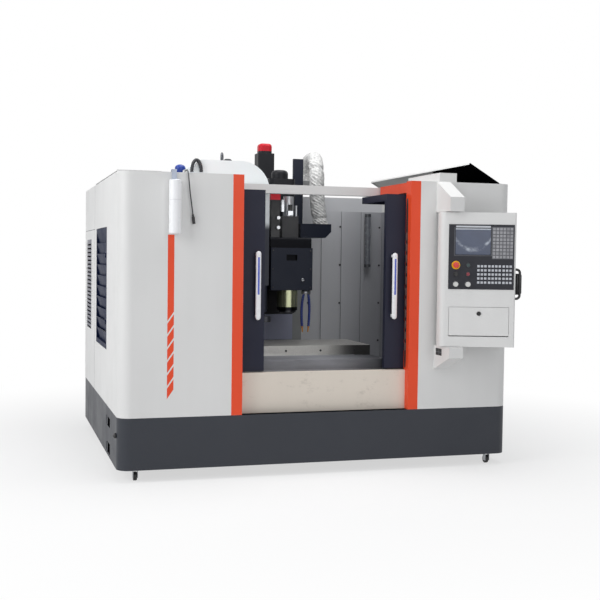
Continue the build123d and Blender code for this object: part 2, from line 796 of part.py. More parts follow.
# Y and X axes
def saddle_casting():
    """The saddle with the X ways, the Y nut, the X screw and the X motor."""
    saddle = block(
        AXIS_X - SADDLE_HALF_WIDTH, AXIS_X + SADDLE_HALF_WIDTH, SADDLE_FRONT, SADDLE_REAR,
        SADDLE_BOTTOM, SADDLE_TOP,
    )
    for side in (-1, 1):
        inner, outer = sorted((SPINDLE_D + side * X_WAY_INNER, SPINDLE_D + side * X_WAY_OUTER))
        saddle += block(
            AXIS_X - SADDLE_HALF_WIDTH, AXIS_X + SADDLE_HALF_WIDTH, inner, outer,
            SADDLE_TOP, TABLE_BOTTOM - RUN_GAP,
        )
        edge = AXIS_X + side * SADDLE_HALF_WIDTH
        saddle += span(
            edge, edge - side * X_BRACKET_LENGTH, SPINDLE_D - X_BRACKET_HALF, SPINDLE_D + X_BRACKET_HALF,
            SADDLE_TOP, X_SCREW_HEIGHT + X_MOTOR_HALF,
        )
    nut = block(
        AXIS_X - NUT_HALF_WIDTH, AXIS_X + NUT_HALF_WIDTH, SPINDLE_D - NUT_HALF_WIDTH,
        SPINDLE_D + NUT_HALF_WIDTH, SADDLE_BOTTOM - Y_NUT_DROP, SADDLE_BOTTOM,
    )
    saddle += nut
    saddle -= rod_y(
        AXIS_X, SADDLE_FRONT - OVERRUN, SADDLE_REAR + OVERRUN, Y_SCREW_HEIGHT, SCREW_RADIUS + RAIL_CLEARANCE
    )
    saddle += rod_x(
        AXIS_X - SADDLE_HALF_WIDTH, AXIS_X + SADDLE_HALF_WIDTH, SPINDLE_D, X_SCREW_HEIGHT, SCREW_RADIUS
    )
    motor = block(
        AXIS_X - SADDLE_HALF_WIDTH - X_MOTOR_LENGTH, AXIS_X - SADDLE_HALF_WIDTH,
        SPINDLE_D - X_MOTOR_HALF, SPINDLE_D + X_MOTOR_HALF,
        X_SCREW_HEIGHT - X_MOTOR_HALF, X_SCREW_HEIGHT + X_MOTOR_HALF,
    )
    return [saddle, fillet(motor.edges().filter_by(Axis.X), MOTOR_EDGE)]


def table():
    """The table: a plate with T-slots along x and a nut block below for the X screw."""
    x_low = TABLE_X - TABLE_LENGTH / 2
    x_high = TABLE_X + TABLE_LENGTH / 2
    plate = block(x_low, x_high, TABLE_FRONT, TABLE_REAR, TABLE_BOTTOM, TABLE_TOP)
    plate = rounded_upright(plate, TABLE_EDGE)
    foot_low = TABLE_TOP - SLOT_DEPTH
    for index in range(SLOT_COUNT):
        d = SPINDLE_D + (index - (SLOT_COUNT - 1) / 2) * SLOT_PITCH
        plate -= block(
            x_low - OVERRUN, x_high + OVERRUN, d - SLOT_WIDTH / 2, d + SLOT_WIDTH / 2,
            foot_low, TABLE_TOP + OVERRUN,
        )
        plate -= block(
            x_low - OVERRUN, x_high + OVERRUN, d - SLOT_FOOT_WIDTH / 2, d + SLOT_FOOT_WIDTH / 2,
            foot_low, foot_low + SLOT_FOOT_HEIGHT,
        )
    nut = block(
        TABLE_X - NUT_HALF_LENGTH, TABLE_X + NUT_HALF_LENGTH, SPINDLE_D - NUT_HALF_WIDTH,
        SPINDLE_D + NUT_HALF_WIDTH, TABLE_BOTTOM - NUT_DROP, TABLE_BOTTOM,
    )
    nut -= rod_x(
        TABLE_X - NUT_HALF_LENGTH - OVERRUN, TABLE_X + NUT_HALF_LENGTH + OVERRUN, SPINDLE_D,
        X_SCREW_HEIGHT, SCREW_RADIUS + RAIL_CLEARANCE,
    )
    return plate + nut


def cover_hood(step, d_low, d_high):
    """One hood of the telescopic cover: a folded sheet with a wiper that runs under the hood outside it."""
    half = COVER_HALF_WIDTH - step * COVER_STEP
    top = COVER_TOP - step * COVER_STEP
    hood = block(AXIS_X - half, AXIS_X + half, d_low, d_high, COVER_BOTTOM, top)
    hood -= block(
        AXIS_X - half + SHEET, AXIS_X + half - SHEET, d_low - OVERRUN, d_high + OVERRUN,
        COVER_BOTTOM - OVERRUN, top - SHEET,
    )
    if step:
        hood += block(
            AXIS_X - half, AXIS_X + half, d_low, d_low + COVER_WIPER, top, top + COVER_STEP - SHEET - RUN_GAP
        )
    return hood


def moving_cover():
    """The inmost hood, with the flange that bolts to the saddle's front."""
    step = 2
    half = COVER_HALF_WIDTH - step * COVER_STEP
    hood = cover_hood(step, COVER_MOVING_FRONT, SADDLE_FRONT)
    return hood + block(
        AXIS_X - half, AXIS_X + half, SADDLE_FRONT - SHEET, SADDLE_FRONT,
        COVER_BOTTOM, COVER_TOP - step * COVER_STEP,
    )


# Head, spindle and what rides with them
def head_casting():
    """The head: a block with the spindle cartridge, four rail carriages and the Z nut."""
    head = block(
        AXIS_X - HEAD_HALF_WIDTH, AXIS_X + HEAD_HALF_WIDTH, HEAD_FRONT, HEAD_REAR, HEAD_BOTTOM, HEAD_TOP
    )
    head = round_edges(head, Axis.X, HEAD_EDGE, [(0, -1, 1)])
    head += upright(AXIS_X, SPINDLE_D, CARTRIDGE_RADIUS, CARTRIDGE_BOTTOM, HEAD_BOTTOM)
    for side in (-1, 1):
        x = AXIS_X + side * RAIL_SPREAD
        for index in range(2):
            z_low = CARRIAGE_LOW + index * CARRIAGE_PITCH
            head += block(
                x - CARRIAGE_WIDTH / 2, x + CARRIAGE_WIDTH / 2, HEAD_REAR, HEAD_REAR + CARRIAGE_DEPTH,
                z_low, z_low + CARRIAGE_LENGTH,
            )
        head -= block(
            x - RAIL_WIDTH / 2 - RAIL_CLEARANCE, x + RAIL_WIDTH / 2 + RAIL_CLEARANCE,
            COLUMN_FRONT - RAIL_HEIGHT - RAIL_CLEARANCE, COLUMN_FRONT, HEAD_BOTTOM, HEAD_TOP,
        )
    head += block(
        AXIS_X - Z_NUT_HALF, AXIS_X + Z_NUT_HALF, HEAD_REAR, Z_SCREW_D + Z_NUT_HALF,
        Z_NUT_LOW, Z_NUT_LOW + Z_NUT_HEIGHT,
    )
    head -= upright(AXIS_X, Z_SCREW_D, SCREW_RADIUS + RAIL_CLEARANCE, Z_NUT_LOW - OVERRUN, HEAD_TOP)
    head -= upright(AXIS_X, SPINDLE_D, SHAFT_RADIUS + RUN_GAP, CARTRIDGE_BOTTOM - OVERRUN, HEAD_TOP + OVERRUN)
    return head


def rounded_front_edges(cover):
    """The head cover with its two front vertical edges rounded."""
    return round_edges(cover, Axis.Z, HEAD_COVER_EDGE - SHEET, [(-1, -1, 0), (1, -1, 0)])


def head_cover():
    """The folded cover round the head's front, with a vent and a hole for the cartridge."""
    half = HEAD_HALF_WIDTH + SHEET
    bottom = HEAD_BOTTOM - SHEET
    cover = block(AXIS_X - half, AXIS_X + half, HEAD_COVER_FRONT, HEAD_COVER_REAR, bottom, HEAD_COVER_TOP)
    cover = rounded_front_edges(cover)
    cover -= block(
        AXIS_X - HEAD_HALF_WIDTH, AXIS_X + HEAD_HALF_WIDTH, HEAD_COVER_FRONT + SHEET,
        HEAD_COVER_REAR + OVERRUN, HEAD_BOTTOM, HEAD_COVER_TOP - SHEET,
    )
    cover -= block(
        AXIS_X - HEAD_HALF_WIDTH, AXIS_X + HEAD_HALF_WIDTH, HEAD_FRONT, HEAD_COVER_REAR + OVERRUN,
        HEAD_BOTTOM, HEAD_COVER_TOP + OVERRUN,
    )
    cover -= upright(
        AXIS_X, SPINDLE_D, CARTRIDGE_RADIUS + SEAM, bottom - OVERRUN, HEAD_BOTTOM + OVERRUN
    )
    vent_top = HEAD_COVER_TOP - VENT_DROP
    return cover - block(
        AXIS_X - VENT_WIDTH / 2, AXIS_X + VENT_WIDTH / 2,
        HEAD_COVER_FRONT - OVERRUN, HEAD_COVER_FRONT + SHEET,
        vent_top - VENT_HEIGHT, vent_top,
    )


def z_way_cover():
    """The plate that hangs below the head in front of the Z rails, with folded sides."""
    plate = block(
        AXIS_X - WAY_COVER_HALF, AXIS_X + WAY_COVER_HALF, HEAD_REAR, HEAD_REAR + SHEET,
        WAY_COVER_BOTTOM, HEAD_BOTTOM + WAY_COVER_LAP,
    )
    for side in (-1, 1):
        edge = AXIS_X + side * WAY_COVER_HALF
        plate += span(
            edge, edge - side * SHEET, HEAD_REAR, HEAD_REAR + SHEET + WAY_COVER_LIP,
            WAY_COVER_BOTTOM, HEAD_BOTTOM + WAY_COVER_LAP,
        )
    return plate


def spindle():
    """The spindle: a nose flange with drive keys, a shaft, a tool taper and a drawbar bore."""
    shaft = upright(AXIS_X, SPINDLE_D, NOSE_RADIUS, NOSE_BOTTOM, CARTRIDGE_BOTTOM - RUN_GAP)
    shaft += upright(AXIS_X, SPINDLE_D, SHAFT_RADIUS, NOSE_BOTTOM, SHAFT_TOP)
    for side in (-1, 1):
        shaft += span(
            AXIS_X + side * KEY_INNER, AXIS_X + side * KEY_OUTER, SPINDLE_D - KEY_WIDTH / 2,
            SPINDLE_D + KEY_WIDTH / 2, NOSE_BOTTOM - KEY_HEIGHT, NOSE_BOTTOM,
        )
    taper = Pos(AXIS_X, SPINDLE_D - DEPTH_CENTRE, NOSE_BOTTOM + TAPER_LENGTH / 2)
    shaft -= taper * Cone(TAPER_RADIUS, TAPER_SMALL_RADIUS, TAPER_LENGTH)
    return shaft - upright(AXIS_X, SPINDLE_D, DRAWBAR_RADIUS, NOSE_BOTTOM, SHAFT_TOP + OVERRUN)


def spindle_motor():
    """The spindle motor behind the spindle: a flange, a body with wide rounded corners and a domed fan."""
    flange = SPINDLE_FLANGE_HALF
    half = SPINDLE_MOTOR_HALF
    motor = block(
        AXIS_X - flange, AXIS_X + flange, SPINDLE_MOTOR_D - flange, SPINDLE_MOTOR_D + flange,
        HEAD_TOP, HEAD_TOP + SPINDLE_FLANGE,
    )
    motor += rounded_upright(block(
        AXIS_X - half, AXIS_X + half, SPINDLE_MOTOR_D - half, SPINDLE_MOTOR_D + half,
        HEAD_TOP + SPINDLE_FLANGE, SPINDLE_MOTOR_TOP,
    ), SPINDLE_MOTOR_EDGE)
    fan_top = SPINDLE_MOTOR_TOP + FAN_HEIGHT
    fan = upright(AXIS_X, SPINDLE_MOTOR_D, FAN_RADIUS, SPINDLE_MOTOR_TOP, fan_top)
    return motor + fillet(fan.faces().sort_by(Axis.Z)[-1].edges(), FAN_ROUND)


def unclamp_unit():
    """The air cylinder on its base over the spindle, and a tower with two regulators and a valve on top."""
    base_top = HEAD_TOP + CYLINDER_BASE_HEIGHT
    cylinder = block(
        AXIS_X - CYLINDER_BASE_HALF, AXIS_X + CYLINDER_BASE_HALF, SPINDLE_D - CYLINDER_BASE_HALF,
        SPINDLE_D + CYLINDER_BASE_HALF, HEAD_TOP, base_top,
    )
    cylinder += upright(AXIS_X, SPINDLE_D, CYLINDER_RADIUS, base_top, base_top + CYLINDER_HEIGHT)
    inset = CYLINDER_BASE_HALF - EXHAUST_INSET
    cylinder += upright(
        AXIS_X + inset, SPINDLE_D - inset, EXHAUST_RADIUS, base_top, base_top + EXHAUST_HEIGHT
    )
    valve_x = AXIS_X - VALVE_OFFSET
    d_low = VALVE_D - VALVE_DEPTH / 2
    d_high = VALVE_D + VALVE_DEPTH / 2
    tower = block(valve_x - TOWER_WIDTH / 2, valve_x + TOWER_WIDTH / 2, d_low, d_high, HEAD_TOP, VALVE_LOW)
    for share in REGULATOR_SHARES:
        z = HEAD_TOP + share * (VALVE_LOW - HEAD_TOP)
        tower += rod_y(valve_x + REGULATOR_OFFSET, d_low - REGULATOR_LENGTH, d_low, z, REGULATOR_RADIUS)
    valve = block(
        valve_x - VALVE_WIDTH / 2, valve_x + VALVE_WIDTH / 2, d_low, d_high,
        VALVE_LOW, VALVE_LOW + VALVE_HEIGHT,
    )
    return [cylinder, tower, valve]


def coolant_hose():
    """One jointed hose hanging from its block: a turned column of beads with a tapered tip."""
    points = [(0, 0)]
    for index in range(HOSE_BEADS):
        top = -index * HOSE_BEAD
        points.append((HOSE_WAIST, top))
        points += [(HOSE_RADIUS, top - HOSE_BEAD / 4), (HOSE_RADIUS, top - 3 * HOSE_BEAD / 4)]
    foot = -HOSE_BEADS * HOSE_BEAD
    tip = foot - NOZZLE_TIP_LENGTH
    points += [(HOSE_WAIST, foot), (NOZZLE_TIP_RADIUS, tip), (0, tip)]
    outline = make_face(Polyline([(radius, 0, z) for radius, z in points], close=True))
    return revolve(outline, Axis.Z)


def coolant_nozzles():
    """Two jointed coolant hoses on a block under the head cover."""
    top = HEAD_BOTTOM - SHEET
    first = block(
        NOZZLE_X - NOZZLE_BLOCK / 2, NOZZLE_X - NOZZLE_BLOCK / 2 + NOZZLE_BLOCK_LENGTH,
        NOZZLE_D - NOZZLE_BLOCK / 2, NOZZLE_D + NOZZLE_BLOCK / 2, top - NOZZLE_BLOCK, top,
    )
    for index in range(2):
        place = Pos(NOZZLE_X + index * NOZZLE_PITCH, NOZZLE_D - DEPTH_CENTRE, top - NOZZLE_BLOCK + HOSE_WAIST)
        first += place * Rot(0, NOZZLE_TILT * (1 - 2 * index), 0) * coolant_hose()
    return first


def cable_bracket():
    """The open box on the head's right side with a clamp plate for the cables, and a trough behind it."""
    left = AXIS_X + HEAD_HALF_WIDTH
    right = left + BRACKET_WIDTH
    rear = BRACKET_REAR
    outline = [
        (left, BRACKET_LOW), (right - BRACKET_CHAMFER, BRACKET_LOW),
        (right, BRACKET_LOW + BRACKET_CHAMFER), (right, BRACKET_TOP), (left, BRACKET_TOP),
    ]
    slope = BRACKET_CHAMFER + SHEET / 2
    hollow = [
        (left + SHEET, BRACKET_LOW + SHEET), (right - slope, BRACKET_LOW + SHEET),
        (right - SHEET, BRACKET_LOW + slope), (right - SHEET, BRACKET_TOP + OVERRUN),
        (left + SHEET, BRACKET_TOP + OVERRUN),
    ]
    bracket = front_prism(outline, BRACKET_FRONT, rear)
    bracket -= front_prism(hollow, BRACKET_FRONT + SHEET, rear - SHEET)
    bracket += block(left, right, BRACKET_FRONT, rear, CLAMP_TOP - SHEET, CLAMP_TOP)
    trough = block(left, left + TROUGH_WIDTH, rear, rear + TROUGH_LIP, TROUGH_LOW, TROUGH_TOP)
    trough -= block(
        left + SHEET, left + TROUGH_WIDTH - SHEET, rear + SHEET, rear + TROUGH_LIP + OVERRUN,
        TROUGH_LOW - OVERRUN, TROUGH_TOP + OVERRUN,
    )
    return bracket + trough


def cable_sleeve():
    """The wide cable sleeve from the bracket, over a crest and down to the column's shelf."""
    path = FilletPolyline(
        [
            (SLEEVE_X, SLEEVE_D - DEPTH_CENTRE, CLAMP_TOP),
            (SLEEVE_X, SLEEVE_D - DEPTH_CENTRE, SLEEVE_CREST),
            (SLEEVE_END_X, SLEEVE_END_D - DEPTH_CENTRE, SLEEVE_CREST),
            (SLEEVE_END_X, SLEEVE_END_D - DEPTH_CENTRE, COLUMN_TOP),
        ],
        radius=[SLEEVE_RISE_BEND, SLEEVE_FALL_BEND],
    )
    return sweep(Plane(path @ 0, z_dir=path % 0) * Circle(SLEEVE_RADIUS), path)


# Tool magazine and changer
def magazine_housing():
    """The white housing, rounded on top and open below, with the plate and pin that carry the disc."""
    corners = [(1, 0, 1), (-1, 0, 1)]
    housing = block(
        MAGAZINE_LEFT, MAGAZINE_RIGHT, MAGAZINE_FRONT, MAGAZINE_REAR, MAGAZINE_BOTTOM, MAGAZINE_TOP
    )
    hollow = block(
        MAGAZINE_LEFT + SHEET, MAGAZINE_RIGHT - SHEET, MAGAZINE_FRONT + SHEET,
        MAGAZINE_REAR - MAGAZINE_PLATE, MAGAZINE_BOTTOM - OVERRUN, MAGAZINE_TOP - SHEET,
    )
    radii = (MAGAZINE_BIG_RADIUS, MAGAZINE_SMALL_RADIUS)
    for corner, radius in zip(corners, radii):
        housing = round_edges(housing, Axis.Y, radius, [corner])
        hollow = round_edges(hollow, Axis.Y, radius - SHEET, [corner])
    housing -= hollow
    housing += rod_y(DISC_X, PIN_FRONT, MAGAZINE_REAR - MAGAZINE_PLATE, DISC_HEIGHT, PIN_RADIUS)
    return housing + rod_y(DISC_X, PIN_FRONT - PIN_HEAD_LENGTH, PIN_FRONT, DISC_HEIGHT, PIN_HEAD_RADIUS)


def magazine_disc():
    """The disc with its hub and a ring of tool pockets that open to the front."""
    disc = rod_y(DISC_X, DISC_D, DISC_D + DISC_THICKNESS, DISC_HEIGHT, DISC_RADIUS)
    hub_front = PIN_FRONT + RUN_GAP
    disc += rod_y(DISC_X, hub_front, hub_front + HUB_LENGTH, DISC_HEIGHT, HUB_RADIUS)
    hub_rear = hub_front + HUB_LENGTH
    disc -= rod_y(DISC_X, hub_front - OVERRUN, hub_rear + OVERRUN, DISC_HEIGHT, PIN_RADIUS + RUN_GAP)
    circle = PolarLocations(POCKET_CIRCLE, POCKET_COUNT)
    for place in circle:
        x = DISC_X + place.position.X
        z = DISC_HEIGHT + place.position.Y
        disc += rod_y(x, DISC_D - POCKET_LENGTH, DISC_D, z, POCKET_RADIUS)
        disc -= rod_y(x, DISC_D - POCKET_LENGTH - OVERRUN, DISC_D, z, POCKET_BORE)
    return disc


def atc_cam_box():
    """The cam box of the tool changer and the bracket that ties it to the column."""
    box = block(CAM_LEFT, CAM_RIGHT, CAM_FRONT, CAM_REAR, CAM_BOTTOM, MAGAZINE_BOTTOM)
    box = rounded_upright(box, CAM_EDGE)
    box += block(
        CAM_LEFT, AXIS_X - COLUMN_HALF_WIDTH, CAM_REAR - CAM_EDGE, CAM_BRACKET_REAR,
        CAM_BOTTOM, MAGAZINE_BOTTOM,
    )
    shaft_top = ARM_TOP + ARM_SHAFT_LENGTH
    return box - upright(
        ARM_AXIS_X, SPINDLE_D, ARM_SHAFT_RADIUS + RUN_GAP, CAM_BOTTOM - OVERRUN, shaft_top + RUN_GAP
    )


def change_arm():
    """The two-ended change arm on its shaft, with open grips at both ends."""
    low = ARM_TOP - ARM_THICKNESS
    arm = block(
        ARM_AXIS_X - ARM_HALF_WIDTH, ARM_AXIS_X + ARM_HALF_WIDTH, SPINDLE_D - ARM_REACH,
        SPINDLE_D + ARM_REACH, low, ARM_TOP,
    )
    for side in (-1, 1):
        arm += upright(ARM_AXIS_X, SPINDLE_D + side * ARM_REACH, ARM_GRIP_RADIUS, low, ARM_TOP)
    for side in (-1, 1):
        d = SPINDLE_D + side * ARM_REACH
        arm -= upright(ARM_AXIS_X, d, ARM_GRIP_BORE, low - OVERRUN, ARM_TOP + OVERRUN)
        arm -= block(
            *sorted((ARM_AXIS_X, ARM_AXIS_X + side * (ARM_GRIP_RADIUS + OVERRUN))),
            d - ARM_GRIP_BORE, d + ARM_GRIP_BORE, low - OVERRUN, ARM_TOP + OVERRUN,
        )
    arm += upright(ARM_AXIS_X, SPINDLE_D, ARM_HUB_RADIUS, low, ARM_TOP)
    return arm + upright(ARM_AXIS_X, SPINDLE_D, ARM_SHAFT_RADIUS, ARM_TOP, ARM_TOP + ARM_SHAFT_LENGTH)


# Enclosure
def guard_shell(side, depth, lid_rear):
    """A front panel and a side panel folded from one sheet, with flanges, a roof strip and lid ears."""
    x_trim = AXIS_X + side * (OPENING_WIDTH / 2 + TRIM_WIDTH)
    x_side = side * MACHINE_WIDTH / 2
    x_open = x_trim - side * OVERRUN
    x_low, x_high = sorted((x_trim, x_side))
    shell = rounded_front(x_low, x_high, 0, depth, SKIRT_TOP, GUARD_TOP, CORNER_RADIUS, [side])
    inner_low, inner_high = sorted((x_open, x_side - side * SHEET))
    shell -= rounded_front(
        inner_low, inner_high, SHEET, depth + OVERRUN, SKIRT_TOP - OVERRUN, GUARD_TOP + OVERRUN,
        CORNER_RADIUS - SHEET, [side],
    )
    for z_low in (SKIRT_TOP, GUARD_TOP - SHEET):
        flange = rounded_front(x_low, x_high, 0, depth, z_low, z_low + SHEET, CORNER_RADIUS, [side])
        shell += flange - span(
            x_open, x_side - side * FLANGE, FLANGE, depth + OVERRUN, z_low - OVERRUN, z_low + OVERRUN
        )
    x_roof = side * (LID_HINGE_X - LID_WIDTH - LID_CLEARANCE)
    shell += span(x_trim, x_roof, 0, ROOF_REAR, GUARD_TOP - SHEET, GUARD_TOP)
    x_hinge = side * LID_HINGE_X
    for d_low in (LID_FRONT - EAR_GAP - EAR_THICKNESS, lid_rear + EAR_GAP):
        shell += block(
            x_hinge - HINGE_TUBE_RADIUS, x_hinge + HINGE_TUBE_RADIUS, d_low, d_low + EAR_THICKNESS,
            GUARD_TOP - SHEET, LID_HINGE_Z + HINGE_TUBE_RADIUS,
        )
    return shell + rod_y(
        x_hinge, LID_FRONT - EAR_GAP - EAR_THICKNESS, lid_rear + EAR_GAP + EAR_THICKNESS,
        LID_HINGE_Z, HINGE_PIN_RADIUS,
    )


def left_guard():
    """The left guard with the opening and hinge lugs of the louvred door, and the cable gland."""
    guard = guard_shell(-1, LEFT_GUARD_DEPTH, LEFT_LID_REAR)
    guard -= block(
        LEFT - OVERRUN, LEFT + SHEET + OVERRUN, LOUVRE_FRONT - LOUVRE_GAP, LOUVRE_REAR + LOUVRE_HINGE_GAP,
        LOUVRE_BOTTOM - LOUVRE_GAP, LOUVRE_TOP + LOUVRE_GAP,
    )
    lug_low = LOUVRE_BOTTOM - LOUVRE_GAP - LOUVRE_LUG
    lug_top = LOUVRE_TOP + LOUVRE_GAP + LOUVRE_LUG
    for z_low in (lug_low, lug_top - LOUVRE_LUG):
        guard += block(
            LEFT + SHEET, LOUVRE_PIN_X + LOUVRE_LUG, LOUVRE_PIN_D - LOUVRE_LUG, LOUVRE_PIN_D + LOUVRE_LUG,
            z_low, z_low + LOUVRE_LUG,
        )
    guard += upright(LOUVRE_PIN_X, LOUVRE_PIN_D, HINGE_PIN_RADIUS, lug_low, lug_top)
    x, d, z = CABLE_ROUTE[0]
    front = d + SEAM
    gland = rod_y(x, front, front + GLAND_LENGTH, z, GLAND_RADIUS)
    gland += block(x - GLAND_RADIUS, x + GLAND_RADIUS, front, front + GLAND_LENGTH, GUARD_TOP, z)
    return [guard, gland]


def control_arm(reach, z_front_low, z_front_high, z_back_low, z_back_high):
    """A folded hollow arm that tapers from the front panel to the control box, open at the panel."""
    outline = [(0, z_back_low), (-reach, z_front_low), (-reach, z_front_high), (0, z_back_high)]
    hollow = [
        (0, z_back_low + SHEET), (SHEET - reach, z_front_low + SHEET),
        (SHEET - reach, z_front_high - SHEET), (0, z_back_high - SHEET),
    ]
    arm = side_prism(outline, ARM_LEFT, ARM_LEFT + ARM_WIDTH)
    return arm - side_prism(hollow, ARM_LEFT + SHEET, ARM_LEFT + ARM_WIDTH - SHEET)


def right_guard():
    """The right guard with its rear return, the roof duct and the two arms of the control box."""
    guard = guard_shell(1, MACHINE_DEPTH, RIGHT_LID_REAR)
    guard += block(
        RIGHT - REAR_RETURN, RIGHT, MACHINE_DEPTH - SHEET, MACHINE_DEPTH, SKIRT_TOP, GUARD_TOP
    )
    duct = block(
        DUCT_LEFT, DUCT_LEFT + DUCT_WIDTH, DUCT_FRONT, ROOF_REAR, GUARD_TOP, GUARD_TOP + DUCT_HEIGHT
    )
    guard += duct - block(
        DUCT_LEFT + SHEET, DUCT_LEFT + DUCT_WIDTH - SHEET, DUCT_FRONT + SHEET, ROOF_REAR + OVERRUN,
        GUARD_TOP, GUARD_TOP + DUCT_HEIGHT - SHEET,
    )
    upper_front_top = UPPER_ARM_BOTTOM + UPPER_ARM_FRONT_HEIGHT
    guard += control_arm(
        UPPER_ARM_REACH, UPPER_ARM_BOTTOM, upper_front_top, UPPER_ARM_BOTTOM, GUARD_TOP
    )
    guard += control_arm(
        LOWER_ARM_REACH, LOWER_ARM_TOP - LOWER_ARM_FRONT_HEIGHT, LOWER_ARM_TOP,
        LOWER_ARM_TOP - LOWER_ARM_BACK_HEIGHT, LOWER_ARM_TOP,
    )
    box_top = CONTROL_BOTTOM + CONTROL_HEIGHT
    guard += upright(PIVOT_X, -PIVOT_REACH, PIVOT_RADIUS, box_top - PIVOT_DEPTH, UPPER_ARM_BOTTOM + SHEET)
    guard += upright(
        PIVOT_X, -PIVOT_REACH, PIVOT_RADIUS, LOWER_ARM_TOP - SHEET, CONTROL_BOTTOM + PIVOT_DEPTH
    )
    return guard + upright(
        PIVOT_X, -PIVOT_REACH, PIVOT_COLLAR, LOWER_ARM_TOP, CONTROL_BOTTOM - RUN_GAP
    )


def door_trim(side):
    """One orange frame: an upright with a folded return and a leg that runs back along the roof."""
    inner = AXIS_X + side * OPENING_WIDTH / 2
    outer = inner + side * TRIM_WIDTH
    trim = span(inner, outer, 0, SHEET, SKIRT_TOP, GUARD_TOP)
    trim += span(inner, inner + side * SHEET, 0, TRIM_RETURN, SKIRT_TOP, GUARD_TOP)
    leg_top = TRIM_LEG_LOW + TRIM_LEG_HEIGHT
    leg = span(inner, outer, SHEET, TRIM_LEG_REAR, TRIM_LEG_LOW, leg_top)
    hollow_inner = inner + side * SHEET
    hollow_outer = outer - side * SHEET
    leg -= span(
        hollow_inner, hollow_outer, SHEET, TRIM_LEG_REAR + OVERRUN, TRIM_LEG_LOW + SHEET, leg_top - SHEET
    )
    return trim + leg


def front_apron():
    """The apron below the doors, the sill with the door rail, the drop wall and the fixed way cover."""
    left = AXIS_X - OPENING_WIDTH / 2
    right = AXIS_X + OPENING_WIDTH / 2
    apron = block(left, right, APRON_SETBACK, APRON_SETBACK + SHEET, SKIRT_TOP, SILL_TOP)
    apron += block(left, right, APRON_SETBACK, SILL_REAR, SILL_TOP - SHEET, SILL_TOP)
    far_left = AXIS_X - DOOR_MEETING_GAP - LEFT_DOOR_TRAVEL - DOOR_WIDTH - SILL_END
    far_right = AXIS_X + DOOR_MEETING_GAP + RIGHT_DOOR_TRAVEL + DOOR_WIDTH + SILL_END
    apron += block(far_left, far_right, DOOR_FRONT, SILL_REAR, SILL_TOP - SHEET, SILL_TOP)
    apron += block(
        far_left, far_right, DOOR_RAIL_SETBACK, DOOR_RAIL_SETBACK + DOOR_RAIL_THICKNESS,
        SILL_TOP, SILL_TOP + DOOR_RAIL_HEIGHT,
    )
    apron += block(WALL_LEFT, WALL_RIGHT, SILL_REAR - SHEET, SILL_REAR, BED_TOP + SHEET, SILL_TOP)
    apron += cover_hood(0, SILL_REAR, COVER_FIXED_REAR)
    return apron + block(
        AXIS_X - COVER_HALF_WIDTH, AXIS_X + COVER_HALF_WIDTH, SILL_REAR - SHEET, SILL_REAR,
        SILL_TOP, COVER_TOP,
    )


def top_beam():
    """The folded beam across the top of the door opening."""
    beam = block(
        LEFT + SHEET, RIGHT - SHEET, BEAM_FRONT, BEAM_FRONT + BEAM_DEPTH,
        BEAM_BOTTOM, BEAM_BOTTOM + BEAM_HEIGHT,
    )
    return beam - block(
        LEFT, RIGHT, BEAM_FRONT + SHEET, BEAM_FRONT + BEAM_DEPTH + OVERRUN,
        BEAM_BOTTOM + SHEET, BEAM_BOTTOM + BEAM_HEIGHT - SHEET,
    )


def splash_walls():
    """The inner side walls, the rear walls with upright folds, and the chip pans beside the bed."""
    bottom = BED_TOP
    pan_left = AXIS_X - BED_HALF_WIDTH + PAN_LAP
    pan_right = AXIS_X + BED_HALF_WIDTH - PAN_LAP
    walls = block(WALL_LEFT, WALL_LEFT + SHEET, SILL_REAR, COLUMN_FRONT, bottom, WALL_TOP)
    walls += block(WALL_RIGHT - SHEET, WALL_RIGHT, SILL_REAR, COLUMN_FRONT, bottom, WALL_TOP)
    walls += block(WALL_LEFT, pan_left, SILL_REAR, COLUMN_FRONT, bottom, bottom + SHEET)
    walls += block(pan_right, WALL_RIGHT, SILL_REAR, COLUMN_FRONT, bottom, bottom + SHEET)
    spans = ((WALL_LEFT, -CAM_WINDOW), (AXIS_X + COLUMN_HALF_WIDTH + SEAM, WALL_RIGHT))
    for x_low, x_high in spans:
        walls += block(x_low, x_high, WALL_REAR, COLUMN_FRONT, bottom, WALL_TOP)
        pitch = (x_high - x_low) / (WALL_FOLDS + 1)
        for index in range(WALL_FOLDS):
            x = x_low + (index + 1) * pitch
            walls += block(
                x - WALL_FOLD, x + WALL_FOLD, WALL_REAR - WALL_FOLD, WALL_REAR, bottom, WALL_TOP
            )
    return walls


def work_lamp():
    """The upright tube lamp on the rear wall, with end caps and two brackets."""
    d = WALL_REAR - LAMP_STAND
    lamp = upright(LAMP_X, d, LAMP_RADIUS, LAMP_BOTTOM, LAMP_TOP)
    for z_low in (LAMP_BOTTOM, LAMP_TOP - LAMP_CAP):
        lamp += upright(LAMP_X, d, LAMP_RADIUS + SHEET, z_low, z_low + LAMP_CAP)
        lamp += block(
            LAMP_X - LAMP_BRACKET / 2, LAMP_X + LAMP_BRACKET / 2, d, WALL_REAR, z_low, z_low + LAMP_CAP
        )
    return lamp


